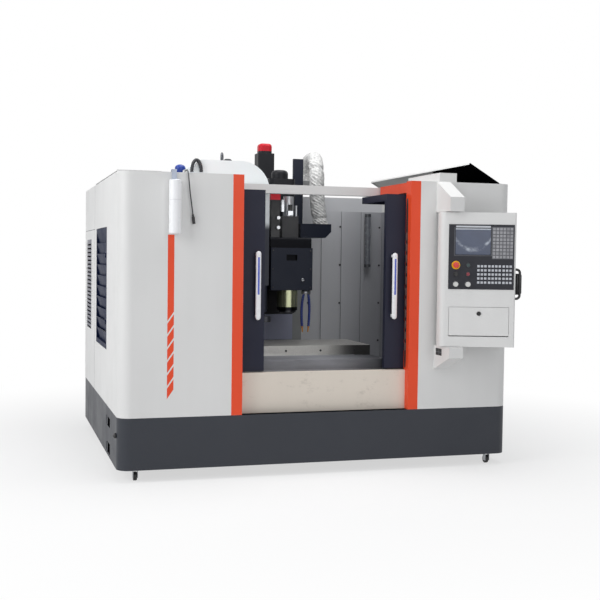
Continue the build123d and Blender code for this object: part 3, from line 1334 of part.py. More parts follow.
def roof_lid(side, rear, angle):
    """A folded roof lid with a rolled hinge along its outer edge, opened by an angle."""
    d_low = LID_FRONT - DEPTH_CENTRE
    d_high = rear - DEPTH_CENTRE
    middle = (d_low + d_high) / 2
    length = d_high - d_low
    top = HINGE_TUBE_RADIUS
    plate = Pos(-side * LID_WIDTH / 2, middle, top - SHEET / 2) * Box(LID_WIDTH, length, SHEET)
    lip_middle = top - LID_LIP / 2
    lid = plate + Pos(-side * (LID_WIDTH - SHEET / 2), middle, lip_middle) * Box(SHEET, length, LID_LIP)
    for d in (d_low + SHEET / 2, d_high - SHEET / 2):
        lid += Pos(-side * LID_WIDTH / 2, d, lip_middle) * Box(LID_WIDTH, SHEET, LID_LIP)
    around = Pos(0, middle, 0) * Rot(90, 0, 0)
    lid += around * Cylinder(HINGE_TUBE_RADIUS, length)
    lid -= around * Cylinder(HINGE_PIN_RADIUS + RUN_GAP, length + OVERRUN)
    return Pos(side * LID_HINGE_X, 0, LID_HINGE_Z) * Rot(0, side * angle, 0) * lid


def base_skirt():
    """The dark plates below the guards, behind the coolant tank."""
    front = TANK_DEPTH + SEAM
    skirt = block(LEFT, LEFT + SHEET, front, MACHINE_DEPTH, SKIRT_BOTTOM, SKIRT_TOP)
    skirt += block(RIGHT - SHEET, RIGHT, front, MACHINE_DEPTH, SKIRT_BOTTOM, SKIRT_TOP)
    return skirt + block(LEFT, RIGHT, MACHINE_DEPTH - SHEET, MACHINE_DEPTH, SKIRT_BOTTOM, SKIRT_TOP)


# Sliding doors
def door_edges(side):
    """The inner and outer x of a door as it stands open."""
    travel = LEFT_DOOR_TRAVEL if side < 0 else RIGHT_DOOR_TRAVEL
    inner = AXIS_X + side * (DOOR_MEETING_GAP + travel)
    return inner, inner + side * DOOR_WIDTH


def window_block(side, grow, d_low, d_high):
    """The window's outline, grown all round, as a rounded block."""
    inner, outer = door_edges(side)
    first = inner + side * (WINDOW_INNER_MARGIN - grow)
    second = outer - side * (WINDOW_OUTER_MARGIN - grow)
    solid = span(first, second, d_low, d_high, WINDOW_BOTTOM - grow, WINDOW_TOP + grow)
    return fillet(solid.edges().filter_by(Axis.Y), WINDOW_RADIUS)


def sliding_door(side):
    """A door panel with stiles behind, a window, and a roof part that runs back over the work area."""
    inner, outer = door_edges(side)
    rear = DOOR_FRONT + DOOR_THICKNESS
    door = span(inner, outer, DOOR_FRONT, rear, DOOR_BOTTOM, DOOR_TOP)
    door -= span(
        inner + side * DOOR_STILE, outer - side * DOOR_STILE, DOOR_FRONT + SHEET, rear + OVERRUN,
        DOOR_BOTTOM + DOOR_STILE, DOOR_TOP - DOOR_STILE,
    )
    door -= window_block(side, 0, DOOR_FRONT - OVERRUN, rear)
    door += span(inner, outer, rear, DOOR_ROOF_REAR, DOOR_TOP - SHEET, DOOR_TOP)
    door += span(inner, inner + side * SHEET, rear, DOOR_ROOF_REAR, DOOR_TOP - DOOR_LIP, DOOR_TOP)
    return door + span(inner, outer, DOOR_ROOF_REAR - SHEET, DOOR_ROOF_REAR, DOOR_TOP - DOOR_LIP, DOOR_TOP)


def door_glass(side):
    """The window pane, bedded on the back of the door's front sheet."""
    front = DOOR_FRONT + SHEET
    return window_block(side, GLASS_LAP, front, front + GLASS_THICKNESS)


def door_handle(side):
    """A bar handle on two feet."""
    inner, _ = door_edges(side)
    x = inner + side * HANDLE_INSET
    low, high = x - HANDLE_WIDTH / 2, x + HANDLE_WIDTH / 2
    top = HANDLE_BOTTOM + HANDLE_LENGTH
    front = DOOR_FRONT - HANDLE_STAND
    bar = block(low, high, front, front + HANDLE_BAR, HANDLE_BOTTOM, top)
    bar = fillet(bar.edges().filter_by(Axis.Z), HANDLE_EDGE)
    for z_low in (HANDLE_BOTTOM, top - HANDLE_FOOT):
        bar += block(
            low + HANDLE_EDGE, high - HANDLE_EDGE, front + HANDLE_EDGE, DOOR_FRONT, z_low, z_low + HANDLE_FOOT
        )
    return bar


# Electrical cabinet and side door
def electrical_cabinet():
    """The cabinet shell with a side wing, vent slots and door lugs, and the plate with drives inside."""
    shell = block(LEFT, CABINET_RIGHT, CABINET_FRONT, MACHINE_DEPTH, SKIRT_TOP, GUARD_TOP)
    shell -= block(
        LEFT + SHEET, CABINET_RIGHT - SHEET, CABINET_FRONT + SHEET, MACHINE_DEPTH + OVERRUN,
        SKIRT_TOP + SHEET, GUARD_TOP - SHEET,
    )
    shell += block(LEFT, LEFT + SHEET, CABINET_WING_FRONT, CABINET_FRONT, SKIRT_TOP, GUARD_TOP)
    depth = MACHINE_DEPTH - CABINET_FRONT
    vent_front, vent_rear = (CABINET_FRONT + share * depth for share in CABINET_VENT_SHARES)
    for index in range(int(CABINET_VENT_HEIGHT / CABINET_SLOT_PITCH)):
        z_low = CABINET_VENT_BOTTOM + index * CABINET_SLOT_PITCH
        shell -= block(
            LEFT - OVERRUN, LEFT + SHEET, vent_front, vent_rear, z_low, z_low + CABINET_SLOT_HEIGHT,
        )
    for z_low in (SKIRT_TOP, GUARD_TOP - CABINET_DOOR_MARGIN + SEAM):
        shell += block(
            LEFT, LEFT + 2 * CABINET_PIN_INSET, MACHINE_DEPTH, CABINET_DOOR_REAR,
            z_low, z_low + CABINET_DOOR_MARGIN - SEAM,
        )
    shell += upright(LEFT + CABINET_PIN_INSET, CABINET_PIN_D, HINGE_PIN_RADIUS, SKIRT_TOP, GUARD_TOP)
    plate_front = CABINET_FRONT + SHEET
    plate_rear = plate_front + CABINET_PLATE
    plate = block(
        LEFT + CABINET_PLATE_MARGIN, CABINET_RIGHT - CABINET_PLATE_MARGIN, plate_front, plate_rear,
        SKIRT_TOP + CABINET_PLATE_MARGIN, GUARD_TOP - CABINET_PLATE_MARGIN,
    )
    pieces = [shell, plate]
    first = LEFT + 2 * CABINET_PLATE_MARGIN
    pitch = (CABINET_RIGHT - CABINET_PLATE_MARGIN - first) / DRIVE_COUNT
    for index in range(DRIVE_COUNT):
        x = first + index * pitch
        pieces.append(block(
            x, x + DRIVE_WIDTH, plate_rear, plate_rear + DRIVE_DEPTH, DRIVE_LOW, DRIVE_LOW + DRIVE_HEIGHT
        ))
    transformer_low = SKIRT_TOP + 2 * CABINET_PLATE_MARGIN
    pieces.append(block(
        first, first + TRANSFORMER_WIDTH, plate_rear, plate_rear + TRANSFORMER_DEPTH,
        transformer_low, transformer_low + TRANSFORMER_HEIGHT,
    ))
    return pieces


def cabinet_door():
    """The cabinet's rear door: a sheet with stiles behind it, bored for its hinge pin, and a latch."""
    low = SKIRT_TOP + CABINET_DOOR_MARGIN
    high = GUARD_TOP - CABINET_DOOR_MARGIN
    rear = CABINET_DOOR_REAR
    door = block(LEFT, CABINET_RIGHT, CABINET_DOOR_FRONT, rear, low, high)
    door -= block(
        LEFT + CABINET_STILE, CABINET_RIGHT - CABINET_STILE, CABINET_DOOR_FRONT - OVERRUN, rear - SHEET,
        low + CABINET_STILE, high - CABINET_STILE,
    )
    door -= upright(
        LEFT + CABINET_PIN_INSET, CABINET_PIN_D, HINGE_PIN_RADIUS + RUN_GAP, low - OVERRUN, high + OVERRUN
    )
    middle = (low + high) / 2
    x_high = CABINET_RIGHT - CABINET_STILE
    return door + block(
        x_high - CABINET_HANDLE_WIDTH, x_high, rear, rear + CABINET_HANDLE_RISE,
        middle - CABINET_HANDLE_LENGTH / 2, middle + CABINET_HANDLE_LENGTH / 2,
    )


def side_louvre_door():
    """The louvred door in the left guard: a frame, tilted slats, two latches and a hinge bore."""
    x_low, x_high = LEFT, LEFT + LOUVRE_THICKNESS
    door = block(x_low, x_high, LOUVRE_FRONT, LOUVRE_REAR, LOUVRE_BOTTOM, LOUVRE_TOP)
    door -= block(
        x_low - OVERRUN, x_high + OVERRUN, LOUVRE_FRONT + LOUVRE_FRAME, LOUVRE_REAR - LOUVRE_FRAME,
        LOUVRE_BOTTOM + LOUVRE_FRAME, LOUVRE_TOP - LOUVRE_FRAME,
    )
    pitch = (LOUVRE_HEIGHT - 2 * LOUVRE_FRAME) / LOUVRE_SLATS
    middle_d = (LOUVRE_FRONT + LOUVRE_REAR) / 2 - DEPTH_CENTRE
    for index in range(LOUVRE_SLATS):
        z = LOUVRE_BOTTOM + LOUVRE_FRAME + (index + 1 / 2) * pitch
        place = Pos((x_low + x_high) / 2, middle_d, z) * Rot(0, LOUVRE_SLAT_TILT, 0)
        door += place * Box(LOUVRE_SLAT_WIDTH, LOUVRE_LENGTH - LOUVRE_FRAME, LOUVRE_SLAT_THICKNESS)
    for share in LATCH_HEIGHT_SHARES:
        z = LOUVRE_BOTTOM + share * LOUVRE_HEIGHT
        door += rod_x(x_low - LATCH_RISE, x_low + SHEET, LOUVRE_FRONT + LATCH_INSET, z, LATCH_RADIUS)
        door += block(
            x_low, x_low + SHEET, LOUVRE_FRONT, LOUVRE_FRONT + 2 * LATCH_INSET,
            z - LOUVRE_FRAME, z + LOUVRE_FRAME,
        )
    return door - upright(
        LOUVRE_PIN_X, LOUVRE_PIN_D, HINGE_PIN_RADIUS + RUN_GAP, LOUVRE_BOTTOM - OVERRUN, LOUVRE_TOP + OVERRUN
    )


# Control box
def control_box_shell():
    """The folded box, rounded at its left front edge, with a storage bin behind the flap."""
    top = CONTROL_BOTTOM + CONTROL_HEIGHT
    shell = panel_block(-CONTROL_LEFT, CONTROL_RIGHT, -CONTROL_FRONT, CONTROL_BACK, CONTROL_BOTTOM, top)
    hollow = panel_block(
        SHEET - CONTROL_LEFT, CONTROL_RIGHT - SHEET, SHEET - CONTROL_FRONT, CONTROL_BACK - SHEET,
        CONTROL_BOTTOM + SHEET, top - SHEET,
    )
    for corner, radius in (((-1, -1, 0), CONTROL_BIG_RADIUS), ((1, -1, 0), CONTROL_SMALL_RADIUS)):
        shell = round_edges(shell, Axis.Z, radius, [corner])
        hollow = round_edges(hollow, Axis.Z, radius - SHEET, [corner])
    shell -= hollow
    face = -CONTROL_FRONT
    shell -= panel_block(
        FASCIA_LEFT + FASCIA_MARGIN, FASCIA_LEFT + FASCIA_WIDTH - FASCIA_MARGIN, face - OVERRUN, face + SHEET,
        FASCIA_TOP - FASCIA_HEIGHT + FASCIA_MARGIN, FASCIA_TOP - FASCIA_MARGIN,
    )
    store_right = STORE_LEFT + STORE_WIDTH
    store_top = STORE_BOTTOM + STORE_HEIGHT
    store_back = face + SHEET + STORE_DEPTH
    shell += panel_block(
        STORE_LEFT - SHEET, store_right + SHEET, face + SHEET, store_back + SHEET,
        STORE_BOTTOM - SHEET, store_top + SHEET,
    )
    shell -= panel_block(STORE_LEFT, store_right, face - OVERRUN, store_back, STORE_BOTTOM, store_top)
    pin_z = STORE_BOTTOM + FLAP_FOOT_GAP + FLAP_PIN_RISE
    pin = Pos((STORE_LEFT + store_right) / 2, face + FLAP_PIN_SETBACK, pin_z) * Rot(0, 90, 0)
    shell += pin * Cylinder(FLAP_PIN_RADIUS, STORE_WIDTH)
    bore = Cylinder(PIVOT_RADIUS + RUN_GAP, CONTROL_HEIGHT + OVERRUN)
    shell -= Pos(0, 0, (CONTROL_BOTTOM + top) / 2) * bore
    return CONTROL_PLACE * shell


def storage_flap():
    """The flap over the storage bin, with a rolled hinge at its foot and a round lock."""
    face = -CONTROL_FRONT
    left = STORE_LEFT + FLAP_GAP
    right = STORE_LEFT + STORE_WIDTH - FLAP_GAP
    low = STORE_BOTTOM + FLAP_FOOT_GAP
    high = STORE_BOTTOM + STORE_HEIGHT - FLAP_GAP
    middle = (left + right) / 2
    flap = panel_block(left, right, face, face + SHEET, low, high)
    around = Pos(middle, face + FLAP_PIN_SETBACK, low + FLAP_PIN_RISE) * Rot(0, 90, 0)
    flap += around * Cylinder(FLAP_TUBE_RADIUS, right - left)
    flap += panel_rod(middle, high - LOCK_DROP, LOCK_RADIUS, face - LOCK_RISE, face + SHEET)
    return CONTROL_PLACE * (flap - around * Cylinder(FLAP_PIN_RADIUS + RUN_GAP, STORE_WIDTH))


def key_columns():
    """The u of every column of operator keys: groups of columns with a wider gap between them."""
    columns = []
    u = FASCIA_LEFT + KEY_COLUMN_INSET
    for count in KEY_GROUP_COUNTS:
        for _ in range(count):
            columns.append(u)
            u += KEY_COLUMN_PITCH
        u += KEY_GROUP_GAP
    return columns


def control_fascia():
    """The black fascia with its screen window, keypad, operator keys, bezels and stem holes."""
    face = FASCIA_FACE
    fascia = panel_block(
        FASCIA_LEFT, FASCIA_LEFT + FASCIA_WIDTH, face, -CONTROL_FRONT, FASCIA_TOP - FASCIA_HEIGHT, FASCIA_TOP
    )
    screen_left = FASCIA_LEFT + SCREEN_INSET
    screen_top = FASCIA_TOP - SCREEN_DROP
    fascia -= panel_block(
        screen_left, screen_left + SCREEN_WIDTH, face - OVERRUN, OVERRUN - CONTROL_FRONT,
        screen_top - SCREEN_HEIGHT, screen_top,
    )
    pad_left = FASCIA_LEFT + KEYPAD_INSET
    pad_top = FASCIA_TOP - KEYPAD_DROP
    fascia += panel_block(
        pad_left, pad_left + KEYPAD_WIDTH, face - KEYPAD_RISE, face, pad_top - KEYPAD_HEIGHT, pad_top
    )
    cell_u = KEYPAD_WIDTH / KEYPAD_COLUMNS
    cell_z = KEYPAD_HEIGHT / KEYPAD_ROWS
    for row in range(KEYPAD_ROWS):
        for column in range(KEYPAD_COLUMNS):
            u = pad_left + (column + 1 / 2) * cell_u
            z = pad_top - (row + 1 / 2) * cell_z
            half_u = KEYPAD_KEY_SHARE * cell_u / 2
            half_z = KEYPAD_KEY_SHARE * cell_z / 2
            fascia += panel_block(
                u - half_u, u + half_u, face - KEYPAD_RISE - KEY_RISE, face - KEYPAD_RISE,
                z - half_z, z + half_z,
            )
    for row in range(KEY_ROWS):
        z = FASCIA_TOP - KEY_TOP_DROP - row * KEY_ROW_PITCH
        for u in key_columns():
            fascia += panel_block(
                u - KEY_SIZE / 2, u + KEY_SIZE / 2, face - KEY_RISE, face, z - KEY_SIZE / 2, z + KEY_SIZE / 2
            )
    first, second = CONTROL_COLUMN, CONTROL_COLUMN + CONTROL_COLUMN_PITCH
    estop_z = FASCIA_TOP - ESTOP_DROP
    selector_z = FASCIA_TOP - SELECTOR_DROP
    dial_z = FASCIA_TOP - DIAL_DROP
    fascia += panel_rod(first, estop_z, ESTOP_RING_RADIUS, face - ESTOP_RING_RISE, face)
    for z in (estop_z, selector_z):
        fascia += panel_rod(second, z, BUTTON_BEZEL_RADIUS, face - BUTTON_BEZEL_RISE, face)
    wide = [(first, estop_z), (second, estop_z), (second, selector_z)]
    narrow = [(first, selector_z), (first, dial_z), (second, dial_z)]
    for holes, radius in ((wide, BUTTON_RADIUS), (narrow, STEM_RADIUS)):
        for u, z in holes:
            fascia -= panel_rod(u, z, radius + RUN_GAP, face - OVERRUN, OVERRUN - CONTROL_FRONT)
    return CONTROL_PLACE * fascia


def display_screen():
    """The screen glass in the fascia's window."""
    left = FASCIA_LEFT + SCREEN_INSET
    top = FASCIA_TOP - SCREEN_DROP
    return CONTROL_PLACE * panel_block(
        left, left + SCREEN_WIDTH, -CONTROL_FRONT - SCREEN_GLASS, -CONTROL_FRONT, top - SCREEN_HEIGHT, top
    )


def control_handle():
    """The bow handle on the box's right side."""
    v = (CONTROL_BACK - CONTROL_FRONT) / 2
    out = CONTROL_RIGHT + BOW_STAND - BOW_RADIUS
    top = BOW_BOTTOM + BOW_LENGTH
    path = FilletPolyline(
        [(CONTROL_RIGHT, v, BOW_BOTTOM), (out, v, BOW_BOTTOM), (out, v, top), (CONTROL_RIGHT, v, top)],
        radius=BOW_BEND,
    )
    return CONTROL_PLACE * sweep(Plane(path @ 0, z_dir=path % 0) * Circle(BOW_RADIUS), path)


def estop_button():
    """The mushroom-headed emergency stop."""
    z = FASCIA_TOP - ESTOP_DROP
    head_back = FASCIA_FACE - ESTOP_STAND
    head = panel_rod(CONTROL_COLUMN, z, ESTOP_RADIUS, head_back - ESTOP_HEAD, head_back)
    head = fillet(head.edges().sort_by(Axis.Y)[0], ESTOP_HEAD / 2)
    stem = panel_rod(CONTROL_COLUMN, z, BUTTON_RADIUS, head_back, FASCIA_FACE + STEM_LENGTH)
    return CONTROL_PLACE * (head + stem)


def push_button(drop):
    """A round push button in its bezel."""
    u = CONTROL_COLUMN + CONTROL_COLUMN_PITCH
    front = FASCIA_FACE - BUTTON_RISE
    return CONTROL_PLACE * panel_rod(u, FASCIA_TOP - drop, BUTTON_RADIUS, front, FASCIA_FACE + STEM_LENGTH)


def mode_selector():
    """The selector knob with a raised grip bar on a stem."""
    z = FASCIA_TOP - SELECTOR_DROP
    back = FASCIA_FACE - RUN_GAP
    knob = panel_rod(CONTROL_COLUMN, z, SELECTOR_RADIUS, back - SELECTOR_RISE, back)
    knob += panel_block(
        CONTROL_COLUMN - SELECTOR_BAR / 2, CONTROL_COLUMN + SELECTOR_BAR / 2,
        back - SELECTOR_RISE - SELECTOR_BAR_RISE, back - SELECTOR_RISE,
        z - SELECTOR_RADIUS, z + SELECTOR_RADIUS,
    )
    return CONTROL_PLACE * (knob + panel_rod(CONTROL_COLUMN, z, STEM_RADIUS, back, FASCIA_FACE + STEM_LENGTH))


def override_dial(column):
    """A fluted override dial on a stem."""
    u = CONTROL_COLUMN + column * CONTROL_COLUMN_PITCH
    z = FASCIA_TOP - DIAL_DROP
    back = FASCIA_FACE - RUN_GAP
    dial = panel_rod(u, z, DIAL_RADIUS, back - DIAL_RISE, back)
    for place in PolarLocations(DIAL_RADIUS, DIAL_FLUTES):
        dial -= panel_rod(
            u + place.position.X, z + place.position.Y, DIAL_FLUTE_RADIUS, back - DIAL_RISE - OVERRUN,
            back - DIAL_RISE / 3,
        )
    return CONTROL_PLACE * (dial + panel_rod(u, z, STEM_RADIUS, back, FASCIA_FACE + STEM_LENGTH))


# Coolant tank and casters
def tank_form(grow, top):
    """The tank's outer form, shrunk by grow on every side: a wide block notched behind for the bed."""
    form = rounded_front(
        LEFT + grow, RIGHT - grow, grow, TANK_DEPTH - grow, SKIRT_BOTTOM + grow, top,
        CORNER_RADIUS - grow, [-1, 1],
    )
    return form - block(
        AXIS_X - TANK_NOTCH_HALF - grow, AXIS_X + TANK_NOTCH_HALF + grow, TANK_NECK - grow,
        TANK_DEPTH + OVERRUN, SKIRT_BOTTOM - OVERRUN, top + OVERRUN,
    )


def caster_place(side):
    """The x of a caster under the tank."""
    return side * (RIGHT - CASTER_INSET)


def caster_body(x, d):
    """A caster's plate, cheeks and axle; its wheel trails behind the stem."""
    plate_top = SKIRT_BOTTOM - SEAM
    plate_low = plate_top - CASTER_PLATE
    axle_d = d + CASTER_TRAIL
    axle_z = WHEEL_RADIUS + RUN_GAP
    body = block(
        x - CASTER_PLATE_HALF, x + CASTER_PLATE_HALF, d - CASTER_PLATE_HALF, d + CASTER_PLATE_HALF,
        plate_low, plate_top,
    )
    for side in (-1, 1):
        cheek = x + side * CASTER_CHEEK_HALF
        body += span(
            cheek, cheek - side * CASTER_CHEEK, axle_d - 2 * AXLE_RADIUS - CASTER_TRAIL,
            axle_d + 2 * AXLE_RADIUS, axle_z - 2 * AXLE_RADIUS, plate_low,
        )
    return body + rod_x(x - CASTER_CHEEK_HALF, x + CASTER_CHEEK_HALF, axle_d, axle_z, AXLE_RADIUS)


def caster_fork(side):
    """A swivelling fork with the stem that turns in the tank's boss."""
    x = caster_place(side)
    fork = caster_body(x, CASTER_D)
    return fork + upright(
        x, CASTER_D, CASTER_STEM_RADIUS, SKIRT_BOTTOM - SEAM, SKIRT_BOTTOM + CASTER_BOSS_HEIGHT - TANK_WALL
    )


def caster_wheel(x, d):
    """A caster wheel with rounded edges and a bore that clears its axle."""
    axle_d = d + CASTER_TRAIL
    axle_z = WHEEL_RADIUS + RUN_GAP
    half = WHEEL_WIDTH / 2
    wheel = rod_x(x - half, x + half, axle_d, axle_z, WHEEL_RADIUS)
    wheel = fillet(wheel.edges().filter_by(GeomType.CIRCLE), WHEEL_EDGE)
    return wheel - rod_x(x - WHEEL_WIDTH, x + WHEEL_WIDTH, axle_d, axle_z, AXLE_RADIUS + RUN_GAP)


def coolant_tank():
    """The open tank with side recesses and caster bosses, and the fixed rollers under its rear arms."""
    tank = tank_form(0, TANK_TOP) - tank_form(TANK_WALL, TANK_TOP + OVERRUN)
    for side in (-1, 1):
        edge = side * RIGHT
        for rise in (TANK_SLOT_LOW, TANK_SLOT_HIGH):
            z_low = SKIRT_BOTTOM + rise
            tank -= span(
                edge + side * OVERRUN, edge - side * TANK_SLOT_RECESS, TANK_SLOT_FRONT,
                TANK_SLOT_FRONT + TANK_SLOT_LENGTH, z_low, z_low + TANK_SLOT_HEIGHT,
            )
        x = caster_place(side)
        tank += upright(x, CASTER_D, CASTER_BOSS_RADIUS, SKIRT_BOTTOM, SKIRT_BOTTOM + CASTER_BOSS_HEIGHT)
        tank -= upright(
            x, CASTER_D, CASTER_STEM_RADIUS + RUN_GAP, SKIRT_BOTTOM - OVERRUN,
            SKIRT_BOTTOM + CASTER_BOSS_HEIGHT - TANK_WALL + SEAM,
        )
    rollers = []
    for side in (-1, 1):
        x = caster_place(side)
        tank += caster_body(x, REAR_ROLLER_D) + block(
            x - CASTER_PLATE_HALF, x + CASTER_PLATE_HALF, REAR_ROLLER_D - CASTER_PLATE_HALF,
            REAR_ROLLER_D + CASTER_PLATE_HALF, SKIRT_BOTTOM - SEAM, SKIRT_BOTTOM,
        )
        rollers.append(caster_wheel(x, REAR_ROLLER_D))
    return [tank] + rollers


# Canister, clip and cable
def hung_canister():
    """The canister on the front panel and the strap that hooks it over the panel's top edge."""
    centre_d = -CANISTER_RADIUS - CLIP_STRAP
    can = upright(CANISTER_X, centre_d, CANISTER_RADIUS, CANISTER_BOTTOM, CANISTER_TOP)
    can = fillet(can.edges().filter_by(GeomType.CIRCLE), CANISTER_EDGE)
    low, high = CANISTER_X - CLIP_WIDTH / 2, CANISTER_X + CLIP_WIDTH / 2
    strap = block(low, high, -CLIP_STRAP, 0, CANISTER_BOTTOM + CANISTER_RADIUS, CLIP_TOP)
    strap += block(low, high, -CLIP_STRAP, CLIP_WIDTH, CLIP_TOP - CLIP_STRAP, CLIP_TOP)
    strap += block(low, high, CLIP_WIDTH - CLIP_STRAP, CLIP_WIDTH, GUARD_TOP, CLIP_TOP)
    return can + strap


def cable_points():
    """The cable's route in the part's own frame."""
    return [Vector(x, d - DEPTH_CENTRE, z) for x, d, z in CABLE_ROUTE]


def lamp_cable():
    """The cable's tube: straight runs joined by the largest tangent arcs its runs allow."""
    points = cable_points()
    radii = []
    for before, corner, after in zip(points, points[1:], points[2:]):
        turn = (corner - before).get_angle(after - corner)
        shorter = min((corner - before).length, (after - corner).length)
        radii.append(CABLE_BEND_SHARE * shorter / tan(radians(turn / 2)))
    path = FilletPolyline(points, radius=radii)
    tube = sweep(Plane(path @ 0, z_dir=path % 0) * Circle(CABLE_DIAMETER / 2), path)
    print("cable length", round(path.length, 1), "radii", [round(radius, 1) for radius in radii])
    print("cable volume share", round(tube.volume / (Circle(CABLE_DIAMETER / 2).area * path.length), 4))
    return tube


def cable_plug():
    """The connector on the cable's free end, in line with its last run."""
    points = cable_points()
    end = points[-1]
    plane = Plane(end, z_dir=end - points[-2])
    body = extrude(plane * Circle(PLUG_RADIUS), PLUG_LENGTH)
    collar = extrude(plane * Circle((PLUG_RADIUS + CABLE_DIAMETER / 2) / 2), PLUG_COLLAR)
    return collar + (body - extrude(plane * Circle(PLUG_RADIUS + OVERRUN), PLUG_COLLAR))


os.makedirs("parts", exist_ok=True)
save("levelling_feet", *levelling_feet())
save("bed_casting", bed_casting())
save("column_casting", column_casting())
save("axis_guides", *axis_guides())
save("servo_motors", *servo_motors())
save("saddle_casting", *saddle_casting())
save("table", table())
save("y_cover_middle", cover_hood(1, COVER_MIDDLE_FRONT, COVER_MIDDLE_FRONT + COVER_MIDDLE_LENGTH))
save("y_cover_moving", moving_cover())
save("head_casting", head_casting())
save("head_cover", head_cover())
save("z_way_cover", z_way_cover())
save("spindle", spindle())
save("spindle_motor", spindle_motor())
save("unclamp_unit", *unclamp_unit())
save("coolant_nozzles", coolant_nozzles())
save("cable_bracket", cable_bracket())
save("cable_sleeve", cable_sleeve())
save("magazine_housing", magazine_housing())
save("magazine_disc", magazine_disc())
save("atc_cam_box", atc_cam_box())
save("change_arm", change_arm())
save("left_guard", *left_guard())
save("right_guard", right_guard())
save("door_trims", door_trim(-1), door_trim(1))
save("front_apron", front_apron())
save("top_beam", top_beam())
save("splash_walls", splash_walls())
save("work_lamp", work_lamp())
save("left_roof_lid", roof_lid(-1, LEFT_LID_REAR, 0))
save("right_roof_lid", roof_lid(1, RIGHT_LID_REAR, LID_ANGLE))
save("base_skirt", base_skirt())
for name, side in (("left", -1), ("right", 1)):
    save(f"{name}_door", sliding_door(side))
    save(f"{name}_door_glass", door_glass(side))
    save(f"{name}_door_handle", door_handle(side))
    save(f"{name}_caster_fork", caster_fork(side))
    save(f"{name}_caster_wheel", caster_wheel(caster_place(side), CASTER_D))
save("electrical_cabinet", *electrical_cabinet())
save("cabinet_door", cabinet_door())
save("side_louvre_door", side_louvre_door())
save("control_box_shell", control_box_shell())
save("storage_flap", storage_flap())
save("control_fascia", control_fascia())
save("display_screen", display_screen())
save("control_handle", control_handle())
save("estop_button", estop_button())
save("start_button", push_button(ESTOP_DROP))
save("stop_button", push_button(SELECTOR_DROP))
save("mode_selector", mode_selector())
save("feed_dial", override_dial(0))
save("spindle_dial", override_dial(1))
save("coolant_tank", *coolant_tank())
save("hung_canister", hung_canister())
save("lamp_cable", lamp_cable())
save("cable_plug", cable_plug())
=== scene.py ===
"""Finishes, small pieces, light and camera for an enclosed vertical machining centre."""

import math

import bpy
import numpy as np
from bpy.props import FloatProperty, FloatVectorProperty, IntProperty, PointerProperty
from mathutils import Matrix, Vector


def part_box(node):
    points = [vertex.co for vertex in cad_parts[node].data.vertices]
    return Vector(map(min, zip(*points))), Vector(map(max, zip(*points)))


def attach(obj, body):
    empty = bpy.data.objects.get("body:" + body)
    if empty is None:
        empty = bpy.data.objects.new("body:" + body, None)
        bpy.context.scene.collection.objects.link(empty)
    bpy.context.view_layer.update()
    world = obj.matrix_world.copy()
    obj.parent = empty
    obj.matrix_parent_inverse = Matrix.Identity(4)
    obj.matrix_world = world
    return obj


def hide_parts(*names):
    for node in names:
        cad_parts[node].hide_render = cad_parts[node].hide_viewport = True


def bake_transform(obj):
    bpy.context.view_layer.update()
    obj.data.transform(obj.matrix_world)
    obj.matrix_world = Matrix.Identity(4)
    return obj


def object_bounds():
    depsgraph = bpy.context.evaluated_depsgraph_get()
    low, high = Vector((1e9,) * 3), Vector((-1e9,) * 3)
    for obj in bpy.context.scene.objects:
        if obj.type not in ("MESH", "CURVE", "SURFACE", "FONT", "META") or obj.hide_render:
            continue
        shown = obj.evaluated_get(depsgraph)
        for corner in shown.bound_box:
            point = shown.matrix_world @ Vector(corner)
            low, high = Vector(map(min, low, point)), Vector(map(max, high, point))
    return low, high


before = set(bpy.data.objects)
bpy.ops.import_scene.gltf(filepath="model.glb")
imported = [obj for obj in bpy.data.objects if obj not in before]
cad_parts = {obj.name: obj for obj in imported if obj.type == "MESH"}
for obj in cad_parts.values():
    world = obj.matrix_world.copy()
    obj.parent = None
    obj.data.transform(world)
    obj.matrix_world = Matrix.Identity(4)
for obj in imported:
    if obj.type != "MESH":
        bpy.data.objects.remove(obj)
cad_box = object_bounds()

bl_info = {
    "name": "Machining centre finishes",
    "version": (1, 0, 0),
    "blender": (4, 5, 0),
    "location": "View3D > Sidebar > Machining centre",
    "description": "Paints the machining centre and adds its sleeve, cable, handles, fasteners and stage",
    "category": "Object",
}

MACHINE = "machine"
HEAD = "head"
DEPTH_CENTRE = 0.962
PIVOT = (0.802, -0.130 - DEPTH_CENTRE)
PANEL_TURN = math.radians(18.6)

# Where one finish gives way to another: heights in metres, or the axis that the name ends in
CABINET_MAT = (0.812, 1.492)
CABINET_MAT_SHARES = (0.34, 0.80)
CABINET_SEAM = (1.558, 1.563)
MAGAZINE_DARK = (1.62, 1.56)
HAND_HOLES = ((0.268, 0.328), (0.094, 0.164))
HAND_HOLE_Y = (0.415 - DEPTH_CENTRE, 0.565 - DEPTH_CENTRE)
SKIRT_SIDE_X = -1.27
LID_SHADE_BACK_Y = 0.80 - DEPTH_CENTRE
SHADED_TOP_FOOT = 0.936
FOLDS_PER_METRE = 60
SERVO_CAP_FOOT = 2.1985
VALVE_FOOT = 1.7819
CYLINDER_FOOT = 1.6689
TOWER_RIGHT_X = -0.045
KNOB_BACK_Y = 0.8749 - DEPTH_CENTRE
CANISTER_SEAM = (1.7095, 1.7125)
SOCKET_FACE_X = 0.7545
SOCKET_Y = (-0.120 - DEPTH_CENTRE, -0.030 - DEPTH_CENTRE)
SOCKET = (0.752, 0.797)
SOCKET_CROSS_Y = (-0.0765 - DEPTH_CENTRE, -0.0735 - DEPTH_CENTRE)
SOCKET_CROSS = (0.773, 0.776)

FRONT_Y = 0.002 - DEPTH_CENTRE

# Lengths in metres
SHEET = 0.003
CARTRIDGE_FOOT = 0.024
CANISTER_NECK = 0.066
HOSE_BLOCK = 0.031
HOSE_TIP = 0.043
LAMP_CAP = 0.022

